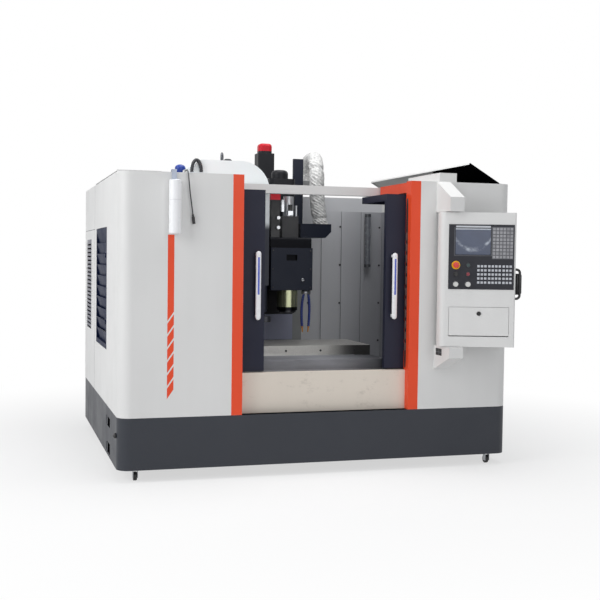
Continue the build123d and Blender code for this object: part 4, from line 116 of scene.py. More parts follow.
# On the control's turned face: across and up, in metres, and how far a face stands forward
EMERGENCY_STOP = (0.028, 1.339)
START = (0.106, 1.339)
STOP = (0.106, 1.282)
FEED_DIAL = (0.028, 1.217)
SPEED_DIAL = (0.106, 1.217)
FLAP_LOCK = (0.1795, 1.030)
KEYPAD = (0.256, 0.391, 1.380, 1.584)
KEYS = (0.160, 0.400, 1.345)
BEZEL = (0.016, 0.255, 1.3985, 1.5815)
BEZEL_INSIDE = (0.019, 0.252, 1.4015, 1.5785)
BEZEL_STRIP = (0.026, 0.246, 1.5795, 1.5905)
SCREEN_BOWL = (0.135, 1.437)
SCREEN_BAR = 1.5665
RING_RADIUS = 0.0272
COLLAR_RADIUS = 0.0152
LOCK_RADIUS = 0.0142
FLAP_FACE = -0.0402
FASCIA_FACE = -0.0436
KEYPAD_FACE = -0.0452


def tone(red, green, blue):
    """An 8-bit display colour as the linear colour that shows as it."""
    shares = np.array((red, green, blue)) / 255
    return tuple(np.where(shares <= 0.04045, shares / 12.92, ((shares + 0.055) / 1.055) ** 2.4))


def colour(name, description, default):
    """A colour property."""
    return FloatVectorProperty(
        name=name, description=description, subtype="COLOR", size=3, min=0, max=1, default=default
    )


def length(name, description, default):
    """A length property in metres."""
    return FloatProperty(name=name, description=description, unit="LENGTH", default=default)


def number(name, description, default):
    """A plain number property."""
    return FloatProperty(name=name, description=description, default=default)


def angle(name, description, degrees):
    """An angle property, given in degrees."""
    return FloatProperty(name=name, description=description, subtype="ANGLE", default=math.radians(degrees))


# Settings
class EnclosureSettings(bpy.types.PropertyGroup):
    """Colours of the sheet metal."""

    guard: colour("Guard", "Light grey coat of the guards, lids and cabinet", tone(219, 219, 218))
    trim: colour("Trim", "Orange coat of the door trims and the stripe", tone(228, 74, 36))
    door: colour("Door", "Slate coat of the sliding doors", tone(34, 36, 52))
    skirt: colour("Skirt", "Anthracite coat of the tank and skirt", tone(49, 52, 59))
    apron: colour("Apron", "Warm light grey of the apron below the doors", tone(222, 213, 201))
    wall: colour("Splash wall", "Grey coat of the inner walls", tone(204, 205, 208))
    louvre: colour("Louvre", "Blue coat of the louvred side door", tone(13, 25, 54))
    magazine: colour("Magazine", "Pale coat of the magazine housing", tone(243, 249, 250))
    # Painted shade: the side walls, and the rear wall towards the right, take this darker colour where shade
    # falls
    shade: colour("Wall in shade", "Darker coat of the side walls", tone(140, 141, 146))
    # Painted shade: near black for the lids' undersides and some of their edge faces
    lid_inside: colour("Lid inside", "Dark underside of the roof lids", tone(5, 5, 7))
    sill: length("Sill", "Height of the sill above which the apron is a way cover", 0.647)
    stripe_left: length("Stripe left", "Left edge of the orange stripe", -1.005)
    stripe_width: length("Stripe width", "Width of the orange stripe", 0.040)
    stripe_bottom: length("Stripe bottom", "Lower end of the orange stripe", 0.5025)
    stripe_top: length("Stripe top", "Upper end of the orange stripe", 1.503)
    stripe_cut_top: length("Cut top", "Height where the slanted cuts begin", 1.012)
    stripe_pitch: length("Cut pitch", "Distance between the slanted cuts", 0.0791)
    stripe_gap: length("Cut width", "Height of each slanted cut", 0.015)
    stripe_slope: number("Cut slope", "Rise of the cuts over their run", 1.45)
    stripe_shift: length("Cut shift", "How much shorter the lowest block is", 0.0130)


class MetalSettings(bpy.types.PropertyGroup):
    """Colours of castings, ground steel and motors."""

    casting: colour("Casting", "Painted cast iron", tone(150, 152, 152))
    ground: colour("Ground iron", "Machined table and ways", tone(186, 184, 180))
    steel: colour("Steel", "Ground steel of screws, rails and covers", tone(168, 170, 174))
    aluminium: colour("Aluminium", "Satin aluminium", tone(196, 198, 202))
    head: colour("Head", "Slate coat of the head, its cover and the cable bracket", tone(26, 31, 45))
    motor: colour("Motor", "Black coat of the motors", tone(20, 21, 26))
    cap: colour("Motor cap", "Red cap of the Z motor and the valve block", tone(196, 30, 44))
    cartridge: colour("Cartridge", "Olive-gold spindle cartridge", tone(190, 193, 158))


class ControlSettings(bpy.types.PropertyGroup):
    """Colours of the control box."""

    fascia: colour("Fascia", "Charcoal fascia", tone(33, 34, 41))
    key: colour("Keys", "Light operator keys", tone(190, 193, 200))
    keypad: colour("Keypad", "Grey plate under the keypad", tone(96, 97, 102))
    keypad_key: colour("Keypad keys", "Grey keys of the keypad", tone(152, 152, 156))
    ring: colour("Stop ring", "Yellow ring round the emergency stop", tone(236, 176, 30))
    red: colour("Red", "Emergency stop", tone(204, 40, 30))
    stop: colour("Stop", "Dark red stop button", tone(124, 26, 44))
    green: colour("Green", "Start button", tone(24, 50, 52))
    dial: colour("Dials", "Light override dials", tone(206, 206, 204))
    screen: colour("Screen", "Display glass", tone(50, 62, 88))


class SoftSettings(bpy.types.PropertyGroup):
    """Cable sleeve, hoses and cable."""

    sleeve: colour("Sleeve", "Pale woven cable sleeve", tone(214, 214, 212))
    hose: colour("Hose", "Navy coolant hose", tone(34, 52, 124))
    tip: colour("Hose tip", "Orange nozzle tips", tone(206, 140, 60))
    cable: colour("Cable", "Dark cable sheath", tone(46, 48, 52))
    rubber: colour("Rubber", "Black rubber and plastic", tone(28, 28, 30))
    sleeve_radius: length("Sleeve radius", "Radius of the cable sleeve", 0.062)
    cable_diameter: length("Cable diameter", "Diameter of the short cable", 0.0075)
    crinkle: number("Crinkle", "Depth of the folds as a share of the radius", 0.20)
    sway: length("Sway", "How far the sleeve leans to the right at its foot", 0.048)
    rings: IntProperty(name="Rings", description="Rings along the sleeve", default=480)


class HandleSettings(bpy.types.PropertyGroup):
    """Door handles and control handle."""

    body: colour("Body", "White handle", tone(236, 237, 240))
    inlay: colour("Inlay", "Blue strip in the handle", tone(70, 88, 186))
    inlay_half: length("Inlay half width", "Half the width of the blue strip", 0.0062)


class StageSettings(bpy.types.PropertyGroup):
    """Floor, light and camera."""

    floor: colour("Floor", "Pale floor", (0.86, 0.86, 0.86))
    camera_x: length("Camera x", "Camera place across the machine", -2.0249)
    camera_y: length("Camera y", "Camera place in depth", -6.1325 - DEPTH_CENTRE)
    camera_z: length("Camera z", "Camera height", 1.3753)
    yaw: angle("Yaw", "Camera turn to the right", 16.848)
    pitch: angle("Pitch", "Camera tilt down", 2.391)
    roll: angle("Roll", "Camera roll", -0.718)
    lens: number("Lens", "Focal length in millimetres", 61.2186)


class MachiningSettings(bpy.types.PropertyGroup):
    """All settings of the machining centre."""

    enclosure: PointerProperty(type=EnclosureSettings)
    metal: PointerProperty(type=MetalSettings)
    control: PointerProperty(type=ControlSettings)
    soft: PointerProperty(type=SoftSettings)
    handle: PointerProperty(type=HandleSettings)
    stage: PointerProperty(type=StageSettings)


# Materials
class Finish:
    """A material in the making: adds nodes by name and joins them to one principled shader."""

    def __init__(self, name):
        self.material = bpy.data.materials.new(name)
        self.material.use_nodes = True
        self.tree = self.material.node_tree
        self.shader = self.tree.nodes["Principled BSDF"]
        coordinates = self.tree.nodes.new("ShaderNodeTexCoord").outputs
        self.place, self.normal = coordinates["Object"], coordinates["Normal"]

    def feed(self, socket, value):
        """Link a socket into another, or set a plain value on it."""
        if isinstance(value, bpy.types.NodeSocket):
            self.tree.links.new(value, socket)
        elif hasattr(value, "__len__") and socket.type == "RGBA" and len(value) == 3:
            socket.default_value = (*value, 1)
        else:
            socket.default_value = value

    def node(self, kind, **inputs):
        """A new node with some of its inputs fed; underscores stand for spaces."""
        made = self.tree.nodes.new("ShaderNode" + kind)
        for name, value in inputs.items():
            self.feed(made.inputs[name.replace("_", " ")], value)
        return made

    def math(self, operation, first, second=0.0, third=0.0):
        """One arithmetic step."""
        made = self.tree.nodes.new("ShaderNodeMath")
        made.operation = operation
        for socket, value in zip(made.inputs, (first, second, third)):
            self.feed(socket, value)
        return made.outputs[0]

    def less(self, value, limit):
        """1 where a value is below a limit, else 0."""
        return self.math("LESS_THAN", value, limit)

    def more(self, value, limit):
        """1 where a value is above a limit, else 0."""
        return self.math("GREATER_THAN", value, limit)

    def plus(self, first, second):
        """A sum."""
        return self.math("ADD", first, second)

    def minus(self, first, second):
        """A difference."""
        return self.math("SUBTRACT", first, second)

    def either(self, first, second):
        """The larger of two values."""
        return self.math("MAXIMUM", first, second)

    def size(self, value):
        """A value without its sign."""
        return self.math("ABSOLUTE", value)

    def axes(self, vector=None):
        """The three coordinates of a point, separately."""
        return self.node("SeparateXYZ", Vector=self.place if vector is None else vector).outputs

    def panel_axes(self):
        """u, v and z in the turned frame of the control box."""
        moved = self.node("VectorMath", Vector=self.place)
        moved.operation = "SUBTRACT"
        moved.inputs[1].default_value = (*PIVOT, 0)
        turned = self.node("VectorRotate", Vector=moved.outputs[0], Angle=PANEL_TURN)
        turned.rotation_type = "Z_AXIS"
        return self.axes(turned.outputs[0])

    def noise(self, scale, detail=4.0, stretch=(1, 1, 1), roughness=0.55):
        """Soft noise from 0 to 1, stretched along the axes."""
        mapping = self.node("Mapping", Vector=self.place, Scale=stretch)
        return self.node(
            "TexNoise", Vector=mapping.outputs[0], Scale=scale, Detail=detail, Roughness=roughness
        ).outputs[0]

    def ramp(self, value, low, high, to_low=0.0, to_high=1.0):
        """A value smoothly stepped from one range to another."""
        made = self.node("MapRange", Value=value, From_Min=low, From_Max=high, To_Min=to_low, To_Max=to_high)
        made.interpolation_type = "SMOOTHSTEP"
        return made.outputs[0]

    def between(self, value, low, high):
        """1 where a value lies in a range, else 0."""
        above = self.more(value, low)
        return self.product(above, self.less(value, high))

    def box(self, first, second, limits):
        """1 inside an upright oblong in two coordinates: limits of the first, then of the second."""
        return self.product(self.between(first, *limits[:2]), self.between(second, *limits[2:]))

    def uneven(self, scale, detail, low, high):
        """A roughness that wanders between two values."""
        return self.ramp(self.noise(scale, detail), 0.3, 0.7, low, high)

    def product(self, *masks):
        """Several masks multiplied."""
        result = masks[0]
        for mask in masks[1:]:
            result = self.math("MULTIPLY", result, mask)
        return result

    def disc(self, first, second, centre, radius):
        """1 inside a circle in two coordinates."""
        across = self.minus(first, centre[0])
        along = self.minus(second, centre[1])
        squared = self.math("MULTIPLY_ADD", across, across, self.product(along, along))
        return self.less(squared, radius * radius)

    def mix(self, factor, first, second):
        """Two colours mixed."""
        made = self.tree.nodes.new("ShaderNodeMix")
        made.data_type = "RGBA"
        self.feed(made.inputs[0], factor)
        self.feed(made.inputs[6], first)
        self.feed(made.inputs[7], second)
        return made.outputs[2]

    def shade(self, base, factor, amount):
        """A colour lightened or darkened by a factor centred on one half."""
        made = self.node("HueSaturation", Color=base, Value=self.ramp(factor, 0, 1, 1 - amount, 1 + amount))
        return made.outputs[0]

    def edge(self, radius):
        """Where a rounded edge would turn away from the face: about 1 along sharp edges, 0 on flats."""
        rounded = self.node("Bevel", Radius=radius)
        rounded.samples = 4
        facing = self.node("VectorMath", Vector=rounded.outputs[0])
        facing.operation = "DOT_PRODUCT"
        self.feed(facing.inputs[1], self.node("NewGeometry").outputs["Normal"])
        return self.ramp(facing.outputs["Value"], 0.97, 0.80)

    def bump(self, height, strength, distance):
        """A bump normal from a height."""
        made = self.node("Bump", Height=height, Strength=strength, Distance=distance)
        return made.outputs[0]

    def finish(self, **inputs):
        """Feed the shader and return the material."""
        for name, value in inputs.items():
            self.feed(self.shader.inputs[name.replace("_", " ")], value)
        return self.material


def coat_colour(work, base, dust=0.05):
    """A coat's colour: slow drift, faint runs down the sheet and a little grime."""
    drift = work.shade(base, work.noise(1.7, 3), 0.035)
    runs = work.shade(drift, work.noise(9, 5, (1, 1, 0.08)), 0.02)
    grime = work.ramp(work.noise(22, 8, roughness=0.7), 0.62, 0.86, 0, dust)
    return work.mix(grime, runs, tuple(0.45 * channel for channel in base))


def coat_finish(work, painted, roughness=0.42, worn=(0.62, 0.62, 0.60), wear=0.5, sheen=0.35):
    """The rest of a coat: worn sharp edges, orange peel and an uneven sheen."""
    rubbed = work.product(work.edge(0.0022), work.ramp(work.noise(34, 6), 0.50, 0.66, 0, wear))
    gloss = work.ramp(work.noise(5, 4), 0.25, 0.75, roughness - 0.06, roughness + 0.07)
    peel = work.bump(work.noise(620, 2), 0.12, 0.0006)
    return work.finish(
        Base_Color=work.mix(rubbed, painted, worn), Roughness=gloss, Normal=peel, Specular_IOR_Level=sheen,
    )


def coat(name, base, roughness=0.42, dust=0.05, worn=(0.62, 0.62, 0.60), wear=0.5, sheen=0.35):
    """Powder-coated sheet metal in one colour."""
    work = Finish(name)
    return coat_finish(work, coat_colour(work, base, dust), roughness, worn, wear, sheen)


def striped_coat(name, settings):
    """The guard coat with the orange stripe on the front: a bar whose lower part is cut by slanted gaps."""
    work = Finish(name)
    x, y, z = work.axes()
    left = settings.stripe_left
    across = work.product(work.minus(x, left), settings.stripe_slope)
    slant = work.minus(work.minus(z, settings.stripe_bottom), across)
    turn = work.math("MODULO", work.plus(slant, settings.stripe_shift), settings.stripe_pitch)
    gap = work.product(
        work.less(turn, settings.stripe_gap),
        work.less(slant, settings.stripe_cut_top - settings.stripe_bottom),
    )
    stripe = work.product(
        work.between(x, left, left + settings.stripe_width),
        work.less(z, settings.stripe_top),
        work.more(slant, 0.0),
        work.less(y, FRONT_Y),
        work.minus(1.0, gap),
    )
    painted = work.mix(stripe, coat_colour(work, settings.guard), settings.trim)
    return coat_finish(work, painted)


def vented_coat(name, settings):
    """The cabinet's coat, with a dark filter mat between the slots of its left side and two thin seams."""
    work = Finish(name)
    low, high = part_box("electrical_cabinet")
    x, y, z = work.axes()
    depth = high[1] - low[1]
    span = [low[1] + share * depth for share in CABINET_MAT_SHARES]
    mat = work.product(work.less(x, low[0] + 0.02), work.between(y, *span), work.between(z, *CABINET_MAT))
    woven = work.shade(tone(90, 91, 104), work.noise(160, 3), 0.25)
    seam = work.either(work.less(y, low[1] + 0.006), work.between(z, *CABINET_SEAM))
    seam = work.product(seam, work.less(x, low[0] + 0.004))
    painted = work.mix(seam, work.mix(mat, coat_colour(work, settings.guard), woven), tone(96, 98, 104))
    return coat_finish(work, painted)


def housing_coat(name, settings, metal):
    """The magazine housing: a paler coat above, dark inside the machine."""
    work = Finish(name)
    inside = work.ramp(work.axes()[2], *MAGAZINE_DARK)
    painted = work.mix(inside, coat_colour(work, settings.magazine), coat_colour(work, metal.head))
    return coat_finish(work, painted)


def lid_coat(name, settings, dark_above, dark_back):
    """Guard coat with painted shade, near black and without sheen, on the faces that look below a slope and lie
    before a depth.
    """
    work = Finish(name)
    under = work.less(work.axes(work.normal)[2], dark_above)
    # Painted shade: faces turned down and in front of a depth go near black and lose their sheen
    lid_shade = work.product(under, work.less(work.axes()[1], dark_back))
    painted = work.mix(lid_shade, coat_colour(work, settings.guard), coat_colour(work, settings.lid_inside))
    return coat_finish(work, painted, 0.5, wear=0.1, sheen=work.ramp(lid_shade, 0, 1, 0.12, 0.0))


def wall_coat(name, settings):
    """The splash walls: their coat, in shade on the two side walls and towards the right."""
    work = Finish(name)
    # Painted shade: the side walls and the right of the rear wall get the darker wall colour
    side = work.ramp(work.size(work.axes(work.normal)[0]), 0.4, 0.6)
    side = work.either(side, work.ramp(work.axes()[0], 0.45, 0.95, 0, 0.8))
    painted = work.mix(side, coat_colour(work, settings.wall, 0.12), coat_colour(work, settings.shade, 0.2))
    return coat_finish(work, painted, 0.40)


def skirt_coat(name, settings):
    """The skirt and tank: a dusty dark coat, with two hand holes on the left side painted near black as the
    shade inside them.
    """
    work = Finish(name)
    x, y, z = work.axes()
    level = work.plus(work.between(z, *HAND_HOLES[0]), work.between(z, *HAND_HOLES[1]))
    hole = work.product(work.less(x, SKIRT_SIDE_X), work.between(y, *HAND_HOLE_Y), level)
    # Painted shade: the hand holes are flat patches, near black and without sheen, for the shade inside them
    painted = work.mix(hole, coat_colour(work, settings.skirt, 0.25), tone(8, 8, 9))
    sheen = work.ramp(hole, 0, 1, 0.35, 0.0)
    return coat_finish(work, painted, 0.50, tone(130, 130, 132), 0.7, sheen)


def scuffed_coat(name, base, sill):
    """The apron: its coat with dark smudges and scratches, and the oily steel way cover above the sill,
    darkened towards the right by painted shade.
    """
    work = Finish(name)
    x, _, z = work.axes()
    painted = coat_colour(work, base, 0.10)
    smudge = work.ramp(work.noise(7, 8, (1, 1, 1.6), 0.72), 0.57, 0.75, 0, 0.30)
    scratch = work.ramp(work.noise(60, 3, (0.5, 1, 0.08)), 0.70, 0.78, 0, 0.30)
    marked = work.mix(smudge, painted, tone(128, 118, 106))
    oily = work.shade(tone(122, 123, 128), work.noise(11, 6, (0.4, 1, 1.5)), 0.30)
    # Painted shade: the way cover darkens to near black towards the right
    shadow = work.ramp(x, 0.05, 0.48, 0, 0.93)
    cover = work.mix(shadow, oily, tone(26, 27, 33))
    above = work.more(z, sill + 0.0005)
    scratched = work.mix(scratch, marked, tone(150, 146, 140))
    return coat_finish(work, work.mix(above, scratched, cover), 0.45)


def cast_finish(name, base, metallic=0.15, grain=(1, 1, 1)):
    """Painted or machined casting: mottled colour, sand grain and a dull sheen."""
    work = Finish(name)
    mottled = work.shade(work.shade(base, work.noise(2.5, 4), 0.06), work.noise(60, 6, grain, 0.65), 0.05)
    rubbed = work.product(work.edge(0.003), work.ramp(work.noise(25, 5), 0.45, 0.65, 0, 0.6))
    return work.finish(
        Base_Color=work.mix(rubbed, mottled, tone(190, 190, 188)), Metallic=metallic,
        Roughness=work.uneven(8, 4, 0.42, 0.58),
        Normal=work.bump(work.noise(420, 4, grain), 0.25, 0.0006),
    )


def table_finish(name, base):
    """The ground table: a bright speckled top, and a front edge darkened towards the right end by painted
    shade.
    """
    work = Finish(name)
    lines = work.noise(900, 3, (0.02, 1, 1))
    stained = work.shade(work.shade(base, work.noise(3.5, 5), 0.08), lines, 0.05)
    speckled = work.shade(stained, work.noise(130, 6), 0.12)
    front = work.less(work.axes(work.normal)[1], -0.5)
    # Painted shade: the front face darkens towards its right end; this mask holds no oil
    oil = work.product(front, work.ramp(work.axes()[0], 0.24, 0.46, 0, 0.80))
    return work.finish(
        Base_Color=work.mix(oil, speckled, tone(36, 37, 43)), Metallic=0.55,
        Roughness=work.ramp(work.noise(6, 5), 0.25, 0.75, 0.28, 0.46), Normal=work.bump(lines, 0.10, 0.0002),
    )


def ground_finish(name, base, along=(0.02, 1, 1), roughness=0.3, metallic=0.9):
    """Ground or brushed metal: fine lines along one axis, with oil stains."""
    work = Finish(name)
    lines = work.noise(900, 3, along)
    stained = work.shade(work.shade(base, work.noise(3.5, 5), 0.08), lines, 0.05)
    return work.finish(
        Base_Color=stained, Metallic=metallic,
        Roughness=work.ramp(work.noise(6, 5), 0.25, 0.75, roughness - 0.08, roughness + 0.1),
        Normal=work.bump(lines, 0.10, 0.0002),
    )


def plastic_finish(name, base, roughness=0.45, grain=1400):
    """Moulded plastic or rubber with a fine grain and faint handling marks."""
    work = Finish(name)
    handled = work.shade(base, work.noise(30, 5), 0.07)
    return work.finish(
        Base_Color=handled, Roughness=work.uneven(14, 4, roughness - 0.08, roughness + 0.1),
        Normal=work.bump(work.noise(grain, 2), 0.18, 0.0003),
    )


def glass_finish(name):
    """A clear pane with a green cast and dried splashes."""
    work = Finish(name)
    splash = work.ramp(work.noise(26, 7, roughness=0.7), 0.60, 0.78, 0.04, 0.30)
    return work.finish(
        Base_Color=tone(222, 232, 230), Roughness=splash, Transmission_Weight=0.92, IOR=1.46,
        Normal=work.bump(work.noise(3, 2), 0.03, 0.002),
    )


def head_finish(name, metal):
    """The head: black coat above, and the olive-gold turned cartridge with its dark foot below it."""
    work = Finish(name)
    z = work.axes()[2]
    low = work.less(z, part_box("head_cover")[0][2])
    foot = work.less(z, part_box("head_casting")[0][2] + CARTRIDGE_FOOT)
    turned = work.shade(metal.cartridge, work.noise(700, 2, (1, 1, 6)), 0.10)
    turned = work.mix(foot, turned, metal.motor)
    painted = work.mix(low, coat_colour(work, metal.motor), turned)
    return work.finish(
        Base_Color=painted, Metallic=work.product(low, 0.85),
        Specular_IOR_Level=work.ramp(low, 0, 1, 0.06, 0.4), Roughness=work.ramp(low, 0, 1, 0.46, 0.24),
        Normal=work.bump(work.noise(520, 2), 0.10, 0.0005),
    )


def way_cover_finish(name, metal):
    """The Z way cover: a dull blue-grey plate whose upper part, behind the head, is painted black as shade,
    with level folds.
    """
    work = Finish(name)
    z = work.axes()[2]
    # Painted shade: the part above this height is black, for the shade behind the head
    shaded_top = work.more(z, SHADED_TOP_FOOT)
    folds = work.math("SINE", work.product(z, FOLDS_PER_METRE * math.tau))
    plate = work.shade(tone(166, 169, 190), work.noise(4, 5), 0.12)
    plate = work.shade(plate, work.noise(700, 2, (0.03, 1, 1)), 0.05)
    return work.finish(
        Base_Color=work.mix(shaded_top, plate, coat_colour(work, metal.motor)),
        Roughness=work.uneven(9, 4, 0.42, 0.56), Specular_IOR_Level=0.25,
        Normal=work.bump(work.product(folds, shaded_top), 0.4, 0.002),
    )


def motor_finish(name, metal, cap_height):
    """Black motors; the part above a height is the red cap."""
    work = Finish(name)
    high = work.more(work.axes()[2], cap_height)
    painted = work.mix(high, coat_colour(work, metal.motor), coat_colour(work, metal.cap))
    return coat_finish(work, painted, 0.40, sheen=0.2)


def unclamp_finish(name, metal):
    """The unclamp unit: bright cylinder and knobs, a red valve and black bodies below them."""
    work = Finish(name)
    x, y, z = work.axes()
    left = work.less(x, TOWER_RIGHT_X)
    valve = work.product(work.more(z, VALVE_FOOT), left)
    cylinder = work.product(work.more(z, CYLINDER_FOOT), work.more(x, TOWER_RIGHT_X))
    knob = work.product(work.less(y, KNOB_BACK_Y), left)
    bright = work.either(cylinder, knob)
    brushed = work.shade(metal.aluminium, work.noise(800, 3, (1, 1, 0.05)), 0.06)
    body = work.mix(valve, coat_colour(work, metal.motor), metal.cap)
    return work.finish(
        Base_Color=work.mix(bright, body, brushed), Metallic=work.product(bright, 0.9),
        Roughness=work.uneven(12, 4, 0.28, 0.42), Specular_IOR_Level=0.35,
    )


def hose_finish(name, soft, metal):
    """Coolant hoses: a steel block on top, navy beads and orange tips."""
    work = Finish(name)
    low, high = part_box("coolant_nozzles")
    z = work.axes()[2]
    block = work.more(z, high[2] - HOSE_BLOCK)
    tip = work.less(z, low[2] + HOSE_TIP)
    coloured = work.mix(tip, soft.hose, soft.tip)
    return work.finish(
        Base_Color=work.shade(work.mix(block, coloured, metal.steel), work.noise(90, 4), 0.08),
        Metallic=work.product(block, 0.9), Roughness=work.uneven(40, 3, 0.32, 0.46),
        Normal=work.bump(work.noise(900, 2), 0.1, 0.0003),
    )


def fascia_finish(name, control):
    """The fascia: charcoal film, light keys where they stand proud, a yellow ring and dial marks."""
    work = Finish(name)
    u, v, z = work.panel_axes()
    proud = work.less(v, FASCIA_FACE)
    keypad = work.box(u, z, KEYPAD)
    keypad_keys = work.product(keypad, work.less(v, KEYPAD_FACE))
    keys = work.product(proud, work.between(u, *KEYS[:2]), work.less(z, KEYS[2]))
    film = work.shade(control.fascia, work.noise(40, 4), 0.06)
    film = work.mix(keypad, film, control.keypad)
    film = work.mix(keypad_keys, film, work.shade(control.keypad_key, work.noise(28, 1), 0.30))
    lamp_dot = work.less(work.math("MODULO", work.plus(z, 0.0035), 0.026), 0.0045)
    film = work.mix(keys, film, work.shade(control.key, work.noise(35, 1), 0.08))
    film = work.mix(work.product(keys, lamp_dot), film, tone(150, 152, 156))
    ring = work.disc(u, z, EMERGENCY_STOP, RING_RADIUS)
    film = work.mix(work.product(ring, proud), film, control.ring)
    for centre in (FEED_DIAL, SPEED_DIAL):
        film = work.mix(dial_marks(work, u, z, centre), film, tone(122, 124, 128))
    for centre in (START, STOP):
        film = work.mix(work.product(proud, work.disc(u, z, centre, COLLAR_RADIUS)), film, tone(62, 64, 68))
    frame_line = work.product(work.box(u, z, BEZEL), work.minus(1.0, work.box(u, z, BEZEL_INSIDE)))
    film = work.mix(frame_line, film, tone(96, 98, 104))
    film = work.mix(work.box(u, z, BEZEL_STRIP), film, tone(196, 200, 206))
    return work.finish(
        Base_Color=film, Roughness=work.uneven(18, 4, 0.40, 0.54), Specular_IOR_Level=0.3,
        Normal=work.bump(work.noise(1500, 2), 0.12, 0.0002),
    )


def dial_marks(work, u, z, centre):
    """Short radial ticks in a ring round a dial, over three quarters of a turn."""
    across = work.minus(u, centre[0])
    along = work.minus(z, centre[1])
    distance = work.math("SQRT", work.math("MULTIPLY_ADD", across, across, work.product(along, along)))
    angle = work.math("ARCTAN2", across, along)
    phase = work.math("FRACT", work.product(work.plus(angle, math.pi), 16 / math.tau))
    return work.product(
        work.between(distance, 0.0185, 0.0225), work.less(phase, 0.22),
        work.less(work.size(angle), 2.4),
    )


def screen_finish(name, control):
    """The display: blue-grey glass with a pale bar along its top and a soft curved painted reflection."""
    work = Finish(name)
    u, _, z = work.panel_axes()
    across = work.minus(u, SCREEN_BOWL[0])
    bowl = work.math("MULTIPLY_ADD", work.product(across, across), 5.5, SCREEN_BOWL[1])
    # Painted reflection: a pale curved band across the glass, broken up by noise
    sheen = work.ramp(work.size(work.minus(z, bowl)), 0.022, 0.0, 0, 0.65)
    reflection_patch = work.product(sheen, work.ramp(work.noise(24, 5), 0.35, 0.7))
    glass = work.shade(control.screen, work.noise(9, 3), 0.25)
    lit = work.mix(reflection_patch, glass, tone(206, 214, 226))
    bar = work.more(z, SCREEN_BAR)
    shown = work.mix(bar, lit, tone(190, 196, 206))
    return work.finish(
        Base_Color=shown, Roughness=0.22, Coat_Weight=0.2, Coat_Roughness=0.05,
        Normal=work.bump(work.noise(4, 2), 0.04, 0.001),
    )


def button_finish(name, base, gloss):
    """Moulded button with a clear coat of some gloss."""
    work = Finish(name)
    return work.finish(
        Base_Color=work.shade(base, work.noise(60, 3), 0.06), Coat_Weight=gloss, Coat_Roughness=0.1,
        Roughness=work.uneven(50, 3, 0.22, 0.32),
    )


def flap_finish(name, enclosure, soft):
    """The storage flap: guard coat with a black lock."""
    work = Finish(name)
    u, v, z = work.panel_axes()
    lock = work.product(work.disc(u, z, FLAP_LOCK, LOCK_RADIUS), work.less(v, FLAP_FACE))
    painted = work.mix(lock, coat_colour(work, enclosure.guard), soft.rubber)
    return coat_finish(work, painted)


def bracket_coat(name, settings, soft):
    """The right guard: coat, with a dark socket plate on the left face of the lower control arm."""
    work = Finish(name)
    x, y, z = work.axes()
    plate = work.product(work.less(x, SOCKET_FACE_X), work.between(y, *SOCKET_Y), work.between(z, *SOCKET))
    cross = work.plus(work.between(y, *SOCKET_CROSS_Y), work.between(z, *SOCKET_CROSS))
    socket = work.mix(work.math("MINIMUM", cross, 1.0), soft.rubber, tone(110, 112, 116))
    return coat_finish(work, work.mix(plate, coat_colour(work, settings.guard), socket))


def sleeve_finish(name, soft):
    """Woven sleeve: crossing threads along the piece's own map, with painted shade in its folds and painted
    light and shade on its crumples.
    """
    work = Finish(name)
    around, along, _ = work.axes(work.tree.nodes.new("ShaderNodeUVMap").outputs[0])
    warp = work.math("SINE", work.product(around, 140 * math.tau))
    weft = work.math("SINE", work.product(along, 420 * math.tau))
    weave = work.product(warp, weft)
    crumple = work.node("TexVoronoi", Vector=work.place, Scale=52.0).outputs["Distance"]
    # Painted shade: grey patches for the folds, and lighter and darker crumples, laid in the colour
    fold = work.ramp(work.noise(34, 7, roughness=0.75), 0.42, 0.66, 0, 0.72)
    shaded = work.mix(fold, soft.sleeve, tone(168, 168, 169))
    height = work.math("MULTIPLY_ADD", weave, 0.04, crumple)
    return work.finish(
        Base_Color=work.shade(shaded, work.ramp(crumple, 0.1, 0.7), 0.10), Roughness=0.6,
        Normal=work.bump(height, 0.42, 0.010),
    )


def handle_finish(name, settings, side):
    """A white door handle with a blue strip let into the upper part of its front."""
    work = Finish(name)
    low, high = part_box(f"{side}_door_handle")
    x, y, z = work.axes()
    middle = (low[0] + high[0]) / 2
    reach = high[2] - low[2]
    strip = work.product(
        work.less(work.size(work.minus(x, middle)), settings.inlay_half),
        work.between(z, low[2] + 0.37 * reach, high[2] - 0.09 * reach), work.less(y, low[1] + 0.004),
    )
    body = work.shade(settings.body, work.noise(40, 4), 0.03)
    return work.finish(
        Base_Color=work.mix(strip, body, settings.inlay), Coat_Weight=0.3, Coat_Roughness=0.12,
        Roughness=work.uneven(30, 4, 0.24, 0.36),
    )


def canister_finish(name):
    """The white canister with a seam, and the pale blue-grey strap and neck above it."""
    work = Finish(name)
    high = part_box("hung_canister")[1]
    z = work.axes()[2]
    neck = work.more(z, high[2] - CANISTER_NECK)
    seam = work.between(z, *CANISTER_SEAM)
    body = work.mix(seam, work.shade(tone(238, 239, 241), work.noise(12, 3), 0.03), tone(218, 219, 222))
    return work.finish(
        Base_Color=work.mix(neck, body, tone(158, 165, 180)), Metallic=work.product(neck, 0.3),
        Roughness=work.uneven(20, 4, 0.26, 0.38),
    )


def lamp_finish(name):
    """The work lamp: an unlit tube behind grey glass, between satin end caps."""
    work = Finish(name)
    low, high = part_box("work_lamp")
    z = work.axes()[2]
    tube = work.between(z, low[2] + LAMP_CAP, high[2] - LAMP_CAP)
    return work.finish(
        Base_Color=work.mix(tube, work.shade(tone(92, 94, 98), work.noise(40, 3), 0.1), tone(104, 107, 113)),
        Metallic=work.ramp(tube, 0, 1, 0.6, 0.0), Coat_Weight=0.2,
        Roughness=work.uneven(30, 3, 0.2, 0.32),
    )


